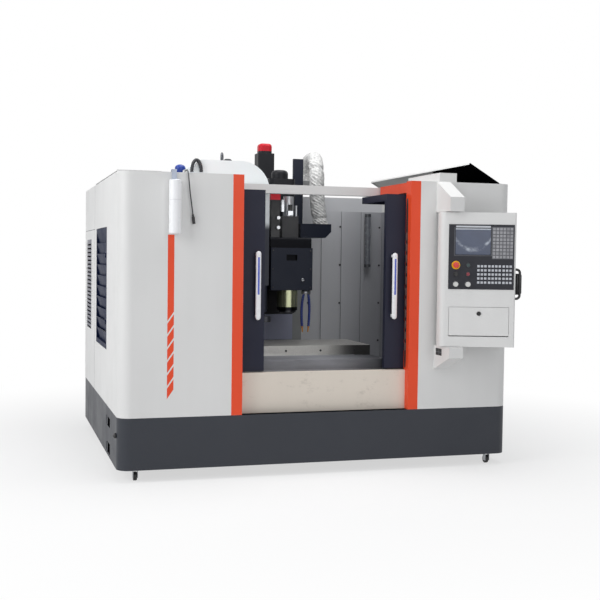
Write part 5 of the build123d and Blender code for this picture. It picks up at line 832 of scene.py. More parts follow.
# Meshes
def grid_faces(rows, columns, wrap=True):
    """Corner numbers of every quad of a grid of rows by columns, closed round the columns if wrapped."""
    row = np.arange(rows - 1)[:, None]
    column = np.arange(columns if wrap else columns - 1)[None, :]
    following = (column + 1) % columns
    corners = (row * columns + column, row * columns + following, (row + 1) * columns + following,
               (row + 1) * columns + column)
    return np.stack(corners, axis=-1).reshape(-1, 4)


def make_piece(name, vertices, faces, material, body, smooth=True):
    """A mesh from a vertex array and several face arrays, at the origin, riding on a body."""
    mesh = bpy.data.meshes.new(name)
    mesh.from_pydata(vertices.reshape(-1, 3).tolist(), [], sum((part.tolist() for part in faces), []))
    mesh.polygons.foreach_set("use_smooth", np.full(len(mesh.polygons), smooth))
    mesh.materials.append(material)
    mesh.update()
    piece = bpy.data.objects.new(name, mesh)
    bpy.context.scene.collection.objects.link(piece)
    if body:
        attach(piece, body)
    return piece


def closed_grid(rows, columns):
    """The quads of a wrapped grid and one flat polygon over each open end, as two arrays."""
    ring = np.arange(columns)
    return [grid_faces(rows, columns), np.stack((ring[::-1], ring + (rows - 1) * columns))]


def ring_offsets(columns):
    """Cosine and sine of evenly spaced angles round a ring."""
    angle = np.linspace(0, math.tau, columns, endpoint=False)
    return np.cos(angle), np.sin(angle)


def flat_tube(points, normal, radius, columns):
    """A tube round a line that stays in a plane: each ring is radius times (cos * normal + sin * inward)."""
    tangent = np.gradient(points, axis=0)
    tangent /= np.linalg.norm(tangent, axis=1)[:, None]
    inward = np.cross(tangent, normal)
    cosine, sine = ring_offsets(columns)
    out = cosine[None, :, None] * normal[None, None, :] + sine[None, :, None] * inward[:, None, :]
    return points[:, None, :] + np.broadcast_to(radius, (len(points), columns))[..., None] * out


def lathe(profile, columns):
    """A turned form: profile rows of (radius, height) carried round the upright axis."""
    cosine, sine = ring_offsets(columns)
    radius, height = profile[:, 0, None], profile[:, 1, None]
    heights = np.broadcast_to(height, (len(profile), columns))
    return np.stack((radius * cosine, radius * sine, heights), axis=-1)


def repeat(shape, faces, places, turns):
    """Copies of one shape: each is turned by its own matrix and moved to its own place, as one array."""
    corners = shape.reshape(-1, 3)
    vertices = np.einsum("nij,vj->nvi", turns, corners) + places[:, None, :]
    shift = (np.arange(len(places)) * len(corners))[:, None, None]
    return vertices, [(part[None] + shift).reshape(-1, part.shape[1]) for part in faces]


def spots(x, y, z):
    """Every combination of the given coordinates as rows; z varies fastest."""
    return np.stack(np.meshgrid(x, y, z, indexing="ij"), axis=-1).reshape(-1, 3)


def block_form(low, high):
    """A box between two corners: its eight corners in order and six outward quads."""
    shares = spots((0, 1), (0, 1), (0, 1))
    quads = np.array(((0, 1, 3, 2), (4, 6, 7, 5), (0, 4, 5, 1), (2, 3, 7, 6), (0, 2, 6, 4), (1, 5, 7, 3)))
    return np.array(low) + shares * (np.array(high) - np.array(low)), [quads]


def joined(parts):
    """Several forms as one: their vertices in a row and their faces numbered on."""
    corners = [vertices.reshape(-1, 3) for vertices, _ in parts]
    shifts = np.cumsum([0] + [len(part) for part in corners[:-1]])
    numbered = [face + shift for (_, faces), shift in zip(parts, shifts) for face in faces]
    return np.concatenate(corners), numbered


def facing(direction):
    """The matrix that turns +Z to one of the main directions."""
    turns = {
        "front": [[1, 0, 0], [0, 0, -1], [0, 1, 0]],
        "rear": [[-1, 0, 0], [0, 0, 1], [0, 1, 0]],
        "left": [[0, 0, -1], [-1, 0, 0], [0, 1, 0]],
        "right": [[0, 0, 1], [1, 0, 0], [0, 1, 0]],
        "up": [[1, 0, 0], [0, 1, 0], [0, 0, 1]],
    }
    return np.array(turns[direction], float)


def screw_head(radius, height):
    """A domed screw head with a hexagon socket, as a turned profile."""
    shares = np.array(((1.0, 0.0), (1.0, 0.45), (0.92, 0.78), (0.70, 1.0), (0.52, 1.0), (0.50, 0.55)))
    return lathe(shares * (radius, height), 12), closed_grid(len(shares), 12)


def add_screws(name, body, places, direction, material, slot, radius, height=0.004):
    """A set of like screw heads on a face, in one mesh."""
    shape, faces = screw_head(radius, height)
    turns = np.repeat(facing(direction)[None], len(places), axis=0)
    vertices, shifted = repeat(shape, faces, places, turns)
    return make_piece(name, vertices, shifted, material, body)


def paint(names, material):
    """Give CAD nodes a material."""
    for name in names:
        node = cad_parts[name]
        node.data.materials.clear()
        node.data.materials.append(material)


# Operators
class MACHINING_OT_enclosure(bpy.types.Operator):
    """Paint the guards, trims, doors, skirt, walls and cabinet"""

    bl_idname = "machining.enclosure"
    bl_label = "Enclosure finishes"

    def execute(self, context):
        settings = context.scene.machining
        enclosure = settings.enclosure
        guard = coat("guard coat", enclosure.guard)
        paint(["left_guard"], striped_coat("striped guard coat", enclosure))
        paint(["right_guard"], bracket_coat("guard coat with socket plate", enclosure, settings.soft))
        paint(["cabinet_door", "top_beam", "control_box_shell"], guard)
        paint(["electrical_cabinet"], vented_coat("cabinet coat", enclosure))
        paint(["magazine_housing"], housing_coat("magazine coat", enclosure, settings.metal))
        paint(["left_roof_lid"], lid_coat("left lid coat", enclosure, -0.2, cad_box[1][1]))
        paint(["right_roof_lid"], lid_coat("right lid coat", enclosure, 0.3, LID_SHADE_BACK_Y))
        paint(["door_trims"], coat("trim coat", enclosure.trim, 0.38))
        slate = coat("door coat", enclosure.door, 0.46, worn=tone(120, 122, 128), sheen=0.2)
        paint(["left_door", "right_door"], slate)
        paint(["front_apron"], scuffed_coat("apron coat", enclosure.apron, enclosure.sill))
        paint(["splash_walls"], wall_coat("wall coat", enclosure))
        paint(["base_skirt", "coolant_tank"], skirt_coat("skirt coat", enclosure))
        louvre = coat("louvre coat", enclosure.louvre, 0.5, worn=tone(70, 80, 112), sheen=0.06)
        paint(["side_louvre_door"], louvre)
        paint(["left_door_glass", "right_door_glass"], glass_finish("door glass"))
        return {"FINISHED"}


class MACHINING_OT_structure(bpy.types.Operator):
    """Finish the castings, table, ways, motors, head and tool changer"""

    bl_idname = "machining.structure"
    bl_label = "Casting and steel finishes"

    def execute(self, context):
        settings = context.scene.machining
        metal = settings.metal
        casting = cast_finish("painted casting", metal.casting)
        paint(["bed_casting", "column_casting", "saddle_casting"], casting)
        paint(["table"], table_finish("ground table", metal.ground))
        steel = ground_finish("ground steel", metal.steel, (1, 1, 0.03))
        paint(["axis_guides", "levelling_feet", "left_caster_fork", "right_caster_fork"], steel)
        paint(["change_arm"], ground_finish("dark arm steel", tone(66, 67, 72), (1, 0.04, 1), 0.4, 0.6))
        cover = ground_finish("way cover steel", metal.steel, (0.03, 1, 1), 0.34, 0.75)
        paint(["y_cover_moving", "y_cover_middle"], cover)
        paint(["z_way_cover"], way_cover_finish("Z way cover", metal))
        paint(["magazine_disc"], ground_finish("satin aluminium", metal.aluminium, (1, 0.04, 1), 0.36))
        paint(["spindle"], ground_finish("dark spindle steel", tone(58, 58, 60), (1, 1, 8), 0.30))
        paint(["servo_motors"], motor_finish("servo coat", metal, SERVO_CAP_FOOT))
        paint(["spindle_motor"], coat("motor coat", metal.motor, 0.40, worn=tone(96, 96, 98), sheen=0.2))
        slate = coat("head coat", metal.head, 0.46, worn=tone(120, 122, 128), sheen=0.2)
        paint(["head_cover", "cable_bracket", "atc_cam_box"], slate)
        paint(["head_casting"], head_finish("head and cartridge", metal))
        paint(["unclamp_unit"], unclamp_finish("unclamp unit", metal))
        paint(["hung_canister"], canister_finish("canister"))
        paint(["work_lamp"], lamp_finish("lamp"))
        rubber = plastic_finish("wheel rubber", settings.soft.rubber, 0.55)
        paint(["left_caster_wheel", "right_caster_wheel"], rubber)
        return {"FINISHED"}


class MACHINING_OT_control(bpy.types.Operator):
    """Finish the fascia, screen, keys, buttons, dials, flap and handle of the control box"""

    bl_idname = "machining.control"
    bl_label = "Control box finishes"

    def execute(self, context):
        settings = context.scene.machining
        control = settings.control
        paint(["control_fascia"], fascia_finish("fascia film", control))
        paint(["display_screen"], screen_finish("display", control))
        paint(["estop_button"], button_finish("red button", control.red, 0.4))
        paint(["stop_button"], button_finish("dark red button", control.stop, 0.1))
        paint(["start_button"], button_finish("green button", control.green, 0.1))
        paint(["mode_selector", "control_handle"], plastic_finish("black grip", settings.soft.rubber, 0.38))
        paint(["feed_dial", "spindle_dial"], plastic_finish("pale dial", control.dial, 0.40))
        paint(["storage_flap"], flap_finish("flap coat", settings.enclosure, settings.soft))
        paint(["cable_plug"], plastic_finish("plug plastic", settings.soft.rubber, 0.42))
        return {"FINISHED"}


class MACHINING_OT_sleeve(bpy.types.Operator):
    """Make the crinkled cable sleeve from the head's bracket to the top of the column"""

    bl_idname = "machining.sleeve"
    bl_label = "Cable sleeve"

    def execute(self, context):
        soft = context.scene.machining.soft
        points, run, normal = sleeve_line(soft.rings, soft.sway)
        columns = 96
        radius = sleeve_radius(run, columns, soft)
        vertices = flat_tube(points, normal, radius, columns)
        faces = closed_grid(len(points), columns)
        woven = sleeve_finish("woven sleeve", soft)
        piece = make_piece("woven_sleeve", vertices, faces, woven, None)
        layer = piece.data.uv_layers.new(name="map")
        corner = np.empty(len(piece.data.loops), int)
        piece.data.loops.foreach_get("vertex_index", corner)
        around = (corner % columns) / columns
        along = run[corner // columns]
        layer.data.foreach_set("uv", np.stack((around, along), axis=1).ravel())
        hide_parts("cable_sleeve")
        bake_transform(piece)
        return {"FINISHED"}


def sleeve_line(rings, sway):
    """The sleeve's line: up with a slight lean, a wide bend, across, a bend and down, in even steps."""
    foot, crest, drop = 1.574, 2.135, 1.98
    start = np.array((0.325, 1.230 - DEPTH_CENTRE, 0))
    end = np.array((0.400, 1.700 - DEPTH_CENTRE, 0))
    across = np.linalg.norm(end - start)
    direction = (end - start) / across
    rise, fall = 0.20, 0.105
    lengths = np.array((
        crest - rise - foot, rise * math.pi / 2, across - rise - fall, fall * math.pi / 2,
        crest - fall - drop,
    ))
    marks = np.concatenate(((0,), np.cumsum(lengths)))
    run = np.linspace(0, marks[-1], rings)
    first = np.clip((run - marks[1]) / rise, 0, math.pi / 2)
    second = np.clip((run - marks[3]) / fall, 0, math.pi / 2)
    level = np.clip(run - marks[2], 0, lengths[2])
    along = rise * (1 - np.cos(first)) + level + fall * np.sin(second)
    height = (
        foot + np.clip(run, 0, lengths[0]) + rise * np.sin(first) - fall * (1 - np.cos(second))
        - np.clip(run - marks[4], 0, lengths[4])
    )
    points = start + along[:, None] * direction
    points[:, 2] = height
    points[:, 0] += sway * np.clip(1 - run / lengths[0], 0, 1) ** 2
    normal = np.array((-direction[1], direction[0], 0))
    return points, run, normal


def sleeve_radius(run, columns, soft):
    """The sleeve's radius on the grid: sharp folds from several crossing waves, tighter at ties."""
    angle = np.linspace(0, math.tau, columns, endpoint=False)[None, :]
    along = run[:, None]
    source = np.random.default_rng(7)
    folds = np.zeros((len(run), columns))
    for wave in range(9):
        turns = source.integers(1, 6)
        rate = source.uniform(20, 150)
        weight = 1 / (1 + 0.35 * wave)
        folds += weight * np.abs(np.sin(turns * angle + rate * along + source.uniform(0, math.tau)))
    folds = (folds - folds.mean()) / np.abs(folds).max()
    fine = 0.25 * np.sin(9 * angle + 130 * along) * np.sin(170 * along + 2 * np.sin(3 * angle))
    ties = np.zeros_like(along)
    for place in (0.10, 0.46, 0.92, 1.20):
        ties = ties + np.exp(-(((along - place) / 0.012) ** 2))
    flare = 0.16 * np.exp(-((along / 0.05) ** 2))
    crumpled = 1 - soft.crinkle / 2 + soft.crinkle * (folds + 0.2 * fine)
    return soft.sleeve_radius * (crumpled - 0.10 * ties + flare)


class MACHINING_OT_hoses(bpy.types.Operator):
    """Make the two bowed coolant hoses and their block"""

    bl_idname = "machining.hoses"
    bl_label = "Coolant hoses"

    def execute(self, context):
        settings = context.scene.machining
        low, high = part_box("coolant_nozzles")
        under = high[2] - 0.030
        parts = [block_form((0.113, low[1], under), (0.173, high[1], high[2]))]
        middle = (low[1] + high[1]) / 2
        for top, foot, bow in ((0.128, 0.120, -0.013), (0.158, 0.160, 0.011)):
            parts.append(hose_form((top, middle, under + 0.007), (foot, middle, low[2]), bow))
        vertices, faces = joined(parts)
        finish = hose_finish("coolant hose", settings.soft, settings.metal)
        piece = make_piece("coolant_hoses", vertices, faces, finish, HEAD)
        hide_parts("coolant_nozzles")
        return {"FINISHED"}


def hose_form(top, foot, bow):
    """A hose of round beads: a line from top to foot bowed sideways by a sine, with a tip that narrows."""
    rings, columns = 161, 20
    share = np.linspace(0, 1, rings)
    points = np.array(top) + share[:, None] * np.subtract(foot, top)
    points[:, 0] += bow * np.sin(math.pi * share ** 0.8)
    beads = 0.0078 + 0.0022 * np.abs(np.sin(16 * math.pi * share)) ** 0.6
    tip = np.interp(share, (0.85, 0.852, 1), (1, 0.0072, 0.0040))
    radius = np.minimum(beads, tip)[:, None]
    return flat_tube(points, np.array((0.0, 1.0, 0.0)), radius, columns), closed_grid(rings, columns)


class MACHINING_OT_cable(bpy.types.Operator):
    """Lay the short cable that hangs over the top of the left front panel"""

    bl_idname = "machining.cable"
    bl_label = "Short cable"

    def execute(self, context):
        soft = context.scene.machining.soft
        route = np.array((
            (-0.888, 0.078, 1.895), (-0.888, 0.042, 1.898), (-0.8875, 0.006, 1.898),
            (-0.8865, -0.018, 1.876), (-0.884, -0.024, 1.838), (-0.879, -0.023, 1.786),
            (-0.872, -0.021, 1.733), (-0.864, -0.019, 1.680), (-0.857, -0.018, 1.627),
        )) - (0, DEPTH_CENTRE, 0)
        curve = bpy.data.curves.new("short_cable", "CURVE")
        curve.dimensions = "3D"
        curve.bevel_depth = soft.cable_diameter / 2
        curve.bevel_resolution = 5
        curve.resolution_u = 24
        curve.use_fill_caps = True
        spline = curve.splines.new("NURBS")
        spline.points.add(len(route) - 1)
        spline.points.foreach_set("co", np.column_stack((route, np.ones(len(route)))).ravel())
        spline.order_u = 3
        spline.use_endpoint_u = True
        curve.materials.append(plastic_finish("cable sheath", soft.cable, 0.45))
        piece = bpy.data.objects.new("short_cable", curve)
        context.scene.collection.objects.link(piece)
        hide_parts("lamp_cable")
        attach(piece, MACHINE)
        return {"FINISHED"}


class MACHINING_OT_handles(bpy.types.Operator):
    """Make the two rounded door handles with their blue strips, and the grip on the control's side bow"""

    bl_idname = "machining.handles"
    bl_label = "Door handles and grip"

    def execute(self, context):
        settings = context.scene.machining.handle
        soft = context.scene.machining.soft
        for side in ("left", "right"):
            low, high = (np.array(corner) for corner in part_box(f"{side}_door_handle"))
            vertices, faces = handle_form(low, high)
            white = handle_finish(f"{side} handle", settings, side)
            piece = make_piece(f"{side}_handle_bar", vertices, faces, white, f"door_{side}")
            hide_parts(f"{side}_door_handle")
        profile = np.array((
            (0.0070, 0.0), (0.0105, 0.003), (0.0120, 0.009),
            (0.0120, 0.119), (0.0105, 0.125), (0.0070, 0.128),
        ))
        across, deep = 0.447, 0.020
        place = np.array((
            PIVOT[0] + across * math.cos(PANEL_TURN) + deep * math.sin(PANEL_TURN),
            PIVOT[1] - across * math.sin(PANEL_TURN) + deep * math.cos(PANEL_TURN), 1.156,
        ))
        bar = lathe(profile, 28) + place, closed_grid(len(profile), 28)
        web, web_faces = block_form((-0.027, -0.004, -0.004), (0.0, 0.004, 0.132))
        turn = np.array(Matrix.Rotation(-PANEL_TURN, 3, "Z"))
        web = repeat(web, web_faces, place[None], turn[None])
        vertices, faces = joined((bar, web))
        grip = plastic_finish("grip rubber", soft.rubber, 0.42)
        make_piece("control_grip", vertices, faces, grip, "control_box")
        return {"FINISHED"}


def handle_form(low, high):
    """A bar with a rounded oblong section that narrows to half-round ends, and two feet behind it."""
    centre = (low + high) / 2
    half_width = (high[0] - low[0]) / 2
    half_depth = 0.010
    reach = (high[2] - low[2]) / 2
    rings, columns = 61, 28
    share = np.sin(np.linspace(-math.pi / 2, math.pi / 2, rings))
    height = reach * share
    over = np.clip((np.abs(height) - (reach - half_width)) / half_width, 0, 1)
    narrow = np.sqrt(np.clip(1 - over ** 2, 0.0004, 1))
    cosine, sine = ring_offsets(columns)
    section_x = np.sign(cosine) * np.abs(cosine) ** 0.6 * half_width
    section_y = np.sign(sine) * np.abs(sine) ** 0.75 * half_depth
    bar = np.stack((
        centre[0] + narrow[:, None] * section_x, low[1] + half_depth + narrow[:, None] ** 0.5 * section_y,
        np.broadcast_to(centre[2] + height[:, None], (rings, columns)),
    ), axis=-1)
    behind = high[1] - low[1] - half_depth
    profile = np.array(((0.0095, 0), (0.0095, 0.020), (0.0105, 0.026), (0.0135, behind)))
    ends = centre[2] + np.array((-1, 1)) * (reach - 0.022)
    turns = np.repeat(facing("rear")[None], 2, axis=0)
    feet = repeat(lathe(profile, 20), closed_grid(4, 20), spots(centre[0], low[1] + half_depth, ends), turns)
    return joined(((bar, closed_grid(rings, columns)), feet))


class MACHINING_OT_pads(bpy.types.Operator):
    """Add the dark strips along both trims, painted shade for the gap between door and trim, and the rubber
    pads on them
    """

    bl_idname = "machining.pads"
    bl_label = "Door pads"

    def execute(self, context):
        soft = context.scene.machining.soft
        rubber = plastic_finish("gap shade rubber", soft.rubber, 0.6, 900)
        worn = plastic_finish("pad rubber", tone(92, 66, 62), 0.5, 900)
        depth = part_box("door_trims")[0][1] + 0.058
        count = 11
        heights = np.linspace(0.80, 1.52, count)
        # Painted shade: the long dark strip stands for the shadowed gap between each door and its trim
        strip, strip_faces = pad_form(0.002, 0.015, 0.555)
        pad, pad_faces = pad_form(0.005, 0.012, 0.026)
        for side, x, turn in (("left", -0.535, "right"), ("right", 0.575, "left")):
            turns = np.repeat(facing(turn)[None], count, axis=0)
            vertices, shifted = repeat(strip, strip_faces, spots(x, depth, 1.215), turns[:1])
            make_piece(f"{side}_door_gap_shade", vertices, shifted, rubber, MACHINE)
            vertices, shifted = repeat(pad, pad_faces, spots(x, depth, heights), turns)
            make_piece(f"{side}_door_pads", vertices, shifted, worn, MACHINE)
        return {"FINISHED"}


def pad_form(height, half_width, half_length):
    """A low pad with rounded corners and sloped sides: rounded-square rings that step in as they rise."""
    cosine, sine = ring_offsets(24)
    circle = np.stack((cosine, sine), axis=-1)
    square = np.sign(circle) * np.abs(circle) ** 0.35
    steps = np.array(((1.0, 0.0), (1.0, 0.7), (0.93, 1.0)))
    rings = np.concatenate((
        steps[:, None, :1] * square[None] * (half_width, half_length),
        np.broadcast_to(steps[:, None, 1:] * height, (3, 24, 1)),
    ), axis=-1)
    return rings, closed_grid(3, 24)


class MACHINING_OT_fasteners(bpy.types.Operator):
    """Add the screws of the walls, table, head cover, lid, cabinet, skirt and right guard, and the tank's knob
    """

    bl_idname = "machining.fasteners"
    bl_label = "Fasteners"

    def execute(self, context):
        metal = context.scene.machining.metal
        dark = plastic_finish("blackened screw", tone(44, 44, 46), 0.35)
        bright = ground_finish("bright screw", metal.steel, (1, 1, 1), 0.28)
        wall, table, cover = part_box("splash_walls"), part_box("table"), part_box("head_cover")
        lid, cabinet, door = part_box("left_roof_lid"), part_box("electrical_cabinet"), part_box("cabinet_door")
        skirt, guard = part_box("base_skirt"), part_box("right_guard")
        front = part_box("column_casting")[0][1] - SHEET
        rear_wall = spots((0.350, 0.610, 0.940, -0.42, -0.66, -0.90), front, np.linspace(0.72, 1.62, 4))
        wall_y, wall_z = np.linspace(-0.72, 0.42, 5), (0.72, 1.17, 1.62)
        right_wall = spots(wall[1][0] - SHEET, wall_y, wall_z)
        left_wall = spots(wall[0][0] + SHEET, wall_y, wall_z)
        button = spots(0.100, cover[0][1], 1.215)
        table_x = np.linspace(table[0][0] + 0.12, table[1][0] - 0.12, 4)
        cover_x = (cover[0][0] + 0.016, cover[1][0] - 0.016)
        cover_z = np.linspace(cover[0][2] + 0.02, cover[1][2] - 0.02, 3)
        lid_places = spots((-1.25, -1.05), np.linspace(lid[0][1] + 0.08, lid[1][1] - 0.08, 5), lid[1][2])
        roof = spots(np.linspace(-1.24, -0.48, 4), (0.60, 1.17), cabinet[1][2])
        leaf = spots((-1.27, -0.45), door[1][1] - 0.014, np.linspace(0.50, 1.76, 4))
        side = spots(guard[1][0], np.linspace(-0.80, 1.16, 6), (0.43, 1.84))
        back = spots(np.linspace(-1.2, 1.2, 9), skirt[1][1], 0.34)
        knob = spots(-1.3, 0.080 - DEPTH_CENTRE, 0.28)
        for row in (
            ("rear_wall_screws", MACHINE, rear_wall, "front", dark, "steel", 0.008),
            ("right_wall_screws", MACHINE, right_wall, "left", dark, "steel", 0.008),
            ("left_wall_screws", MACHINE, left_wall, "right", dark, "steel", 0.008),
            ("table_screws", "work_table", spots(table_x, table[0][1], 0.722), "front", dark, "steel", 0.008),
            ("head_cover_screws", HEAD, spots(cover_x, cover[0][1], cover_z), "front", dark, "steel", 0.006),
            ("head_cover_button", HEAD, button, "front", bright, "steel", 0.012, 0.012),
            ("left_lid_screws", "lid_left", lid_places, "up", bright, "steel", 0.007),
            ("cabinet_roof_screws", MACHINE, roof, "up", bright, "steel", 0.008),
            ("cabinet_door_screws", "cabinet_leaf", leaf, "rear", bright, "steel", 0.008),
            ("skirt_screws", MACHINE, back, "rear", dark, "steel", 0.008),
            ("right_guard_screws", MACHINE, side, "right", bright, "steel", 0.007),
            ("tank_knob", "tank", knob, "left", dark, "black_plastic", 0.016, 0.018),
        ):
            add_screws(*row)
        return {"FINISHED"}


class MACHINING_OT_folds(bpy.types.Operator):
    """Add the raised folds of the rear walls and the ports on the unclamp cylinder"""

    bl_idname = "machining.folds"
    bl_label = "Wall folds and ports"

    def execute(self, context):
        settings = context.scene.machining
        wall = coat("wall fold coat", settings.enclosure.wall, 0.40, 0.12)
        low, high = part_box("splash_walls")
        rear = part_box("column_casting")[0][1]
        top = high[2] + 0.108
        for name, left, right in (("left_wall_fold", low[0], -0.330), ("right_wall_fold", 0.3003, high[0])):
            vertices, faces = block_form((left, rear - SHEET, high[2]), (right, rear, top))
            make_piece(name, vertices, faces, wall, MACHINE, False)
        steel = ground_finish("port steel", settings.metal.aluminium, (1, 1, 1), 0.28)
        dark = plastic_finish("port valve", settings.soft.rubber, 0.45)
        front = 0.902 - DEPTH_CENTRE
        for name, corner, reach, material, slot in (
            ("cylinder_port", (0.002, front - 0.024, 1.676), (0.036, 0.030, 0.030), steel, "steel"),
            ("cylinder_valve", (0.008, front - 0.030, 1.706), (0.024, 0.036, 0.044), dark, "black_plastic"),
            ("cylinder_clip", (-0.036, front + 0.012, 1.700), (0.018, 0.030, 0.085), steel, "steel"),
        ):
            vertices, faces = block_form(corner, np.add(corner, reach))
            make_piece(name, vertices, faces, material, HEAD, False)
        return {"FINISHED"}


class MACHINING_OT_magazine_fittings(bpy.types.Operator):
    """Add the hose hoop, the gear motor, the plugs and the lifting eye of the tool magazine"""

    bl_idname = "machining.magazine_fittings"
    bl_label = "Magazine fittings"

    def execute(self, context):
        low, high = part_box("magazine_housing")
        dark = plastic_finish("conduit plastic", tone(40, 42, 47), 0.5)
        steel = ground_finish("lifting eye steel", tone(92, 93, 98), (1, 1, 1), 0.36)
        blue = coat("gear motor coat", tone(40, 66, 150), 0.40)
        self.hoop(low, high, dark)
        self.gear_motor(low, blue)
        self.plugs(high, dark)
        self.lifting_eye(high, steel)
        return {"FINISHED"}

    def hoop(self, low, high, material):
        """A ribbed hose: a tall half-ellipse before the housing's corner, its radius stepping at ribs."""
        rings, columns = 96, 18
        half_width, rise, hose = 0.032, 0.076, 0.0115
        turn = np.linspace(-0.05, math.pi + 0.05, rings)
        centre = np.array((low[0] + 0.013, low[1] - 0.014, high[2] - 0.082))
        arc = centre + np.column_stack((-half_width * np.cos(turn), np.zeros(rings), rise * np.sin(turn)))
        ribs = hose * (1 + 0.08 * np.sign(np.sin(np.linspace(0, 40 * math.pi, rings))))
        vertices = flat_tube(arc, np.array((0.0, 1.0, 0.0)), ribs[:, None], columns)
        make_piece("hose_hoop", vertices, closed_grid(rings, columns), material, MACHINE)

    def gear_motor(self, low, material):
        """A turned motor with a domed cap, and the bracket between it and the housing's left side."""
        dome = np.linspace(0, math.pi / 2 - 0.12, 9)
        body = np.array(((0.022, 0.0), (0.030, 0.004), (0.030, 0.060), (0.036, 0.062), (0.036, 0.092)))
        cap = np.column_stack((0.036 * np.cos(dome), 0.092 + 0.024 * np.sin(dome)))[1:]
        profile = np.concatenate((body, cap))
        centre = np.array((low[0] - 0.086, low[1] + 0.050, 1.874))
        vertices = lathe(profile, 32) + centre
        make_piece("gear_motor", vertices, closed_grid(len(profile), 32), material, MACHINE)
        plate, faces = pad_form(0.008, 0.062, 0.030)
        middle = np.array((((low[0] + centre[0] - 0.036) / 2, centre[1], centre[2] - 0.008),))
        vertices, faces = repeat(plate, faces, middle, facing("up")[None])
        make_piece("gear_motor_bracket", vertices, faces, material, MACHINE, False)

    def plugs(self, high, material):
        """Two turned cable plugs on the housing's roof."""
        profile = np.array((
            (0.031, 0.0), (0.031, 0.014), (0.026, 0.016), (0.026, 0.034), (0.030, 0.036), (0.030, 0.056),
            (0.020, 0.064), (0.006, 0.066),
        ))
        places = np.array(((-0.372, 1.190 - DEPTH_CENTRE, 0), (-0.312, 1.190 - DEPTH_CENTRE, 0)))
        places[:, 2] = high[2] - np.array((0.002, 0.021))
        turns = np.repeat(facing("up")[None], 2, axis=0)
        vertices, faces = repeat(lathe(profile, 28), closed_grid(len(profile), 28), places, turns)
        make_piece("magazine_plugs", vertices, faces, material, MACHINE)

    def lifting_eye(self, high, material):
        """A turned collar and a closed ring that stands on it, seen nearly edge on."""
        rings, columns = 48, 14
        loop_radius, bar_radius = 0.030, 0.0075
        centre = np.array((-0.457, 1.000 - DEPTH_CENTRE, high[2] + 0.052))
        turn = np.linspace(-math.pi / 2 + 0.02, 3 * math.pi / 2 - 0.02, rings)
        across, up = np.array((0.35, 0.94, 0.0)), np.array((0.0, 0.0, 1.0))
        loop = centre + loop_radius * (np.cos(turn)[:, None] * across + np.sin(turn)[:, None] * up)
        vertices = flat_tube(loop, np.array((0.94, -0.35, 0.0)), np.full((rings, 1), bar_radius), columns)
        make_piece("lifting_eye", vertices, closed_grid(rings, columns), material, MACHINE)
        collar = np.array(((0.019, 0.0), (0.019, 0.008), (0.012, 0.012), (0.009, 0.024)))
        vertices = lathe(collar, 20) + (centre[0], centre[1], high[2])
        make_piece("lifting_eye_collar", vertices, closed_grid(4, 20), material, MACHINE)


def seen_rays(tree):
    """1 for what the camera sees straight, in a mirror or through glass, else 0."""
    path = tree.nodes.new("ShaderNodeLightPath").outputs
    seen = path["Is Camera Ray"]
    for name in ("Is Glossy Ray", "Is Transmission Ray"):
        step = tree.nodes.new("ShaderNodeMath")
        step.operation = "MAXIMUM"
        tree.links.new(seen, step.inputs[0])
        tree.links.new(path[name], step.inputs[1])
        seen = step.outputs[0]
    return seen


def mix_shaders(tree, factor, first, second, output):
    """Mix the shaders of two nodes by a factor, into an output node."""
    mixed = tree.nodes.new("ShaderNodeMixShader")
    for socket, source in zip(mixed.inputs, (factor, first.outputs[0], second.outputs[0])):
        tree.links.new(source, socket)
    tree.links.new(mixed.outputs[0], output.inputs[0])


def place_at(item, place, axes):
    """Link an object to the scene at a place, with its own x, y and z along three directions."""
    matrix = np.eye(4)
    matrix[:3, :3] = np.column_stack(axes)
    matrix[:3, 3] = place
    item.matrix_world = Matrix(matrix.tolist())
    bpy.context.scene.collection.objects.link(item)


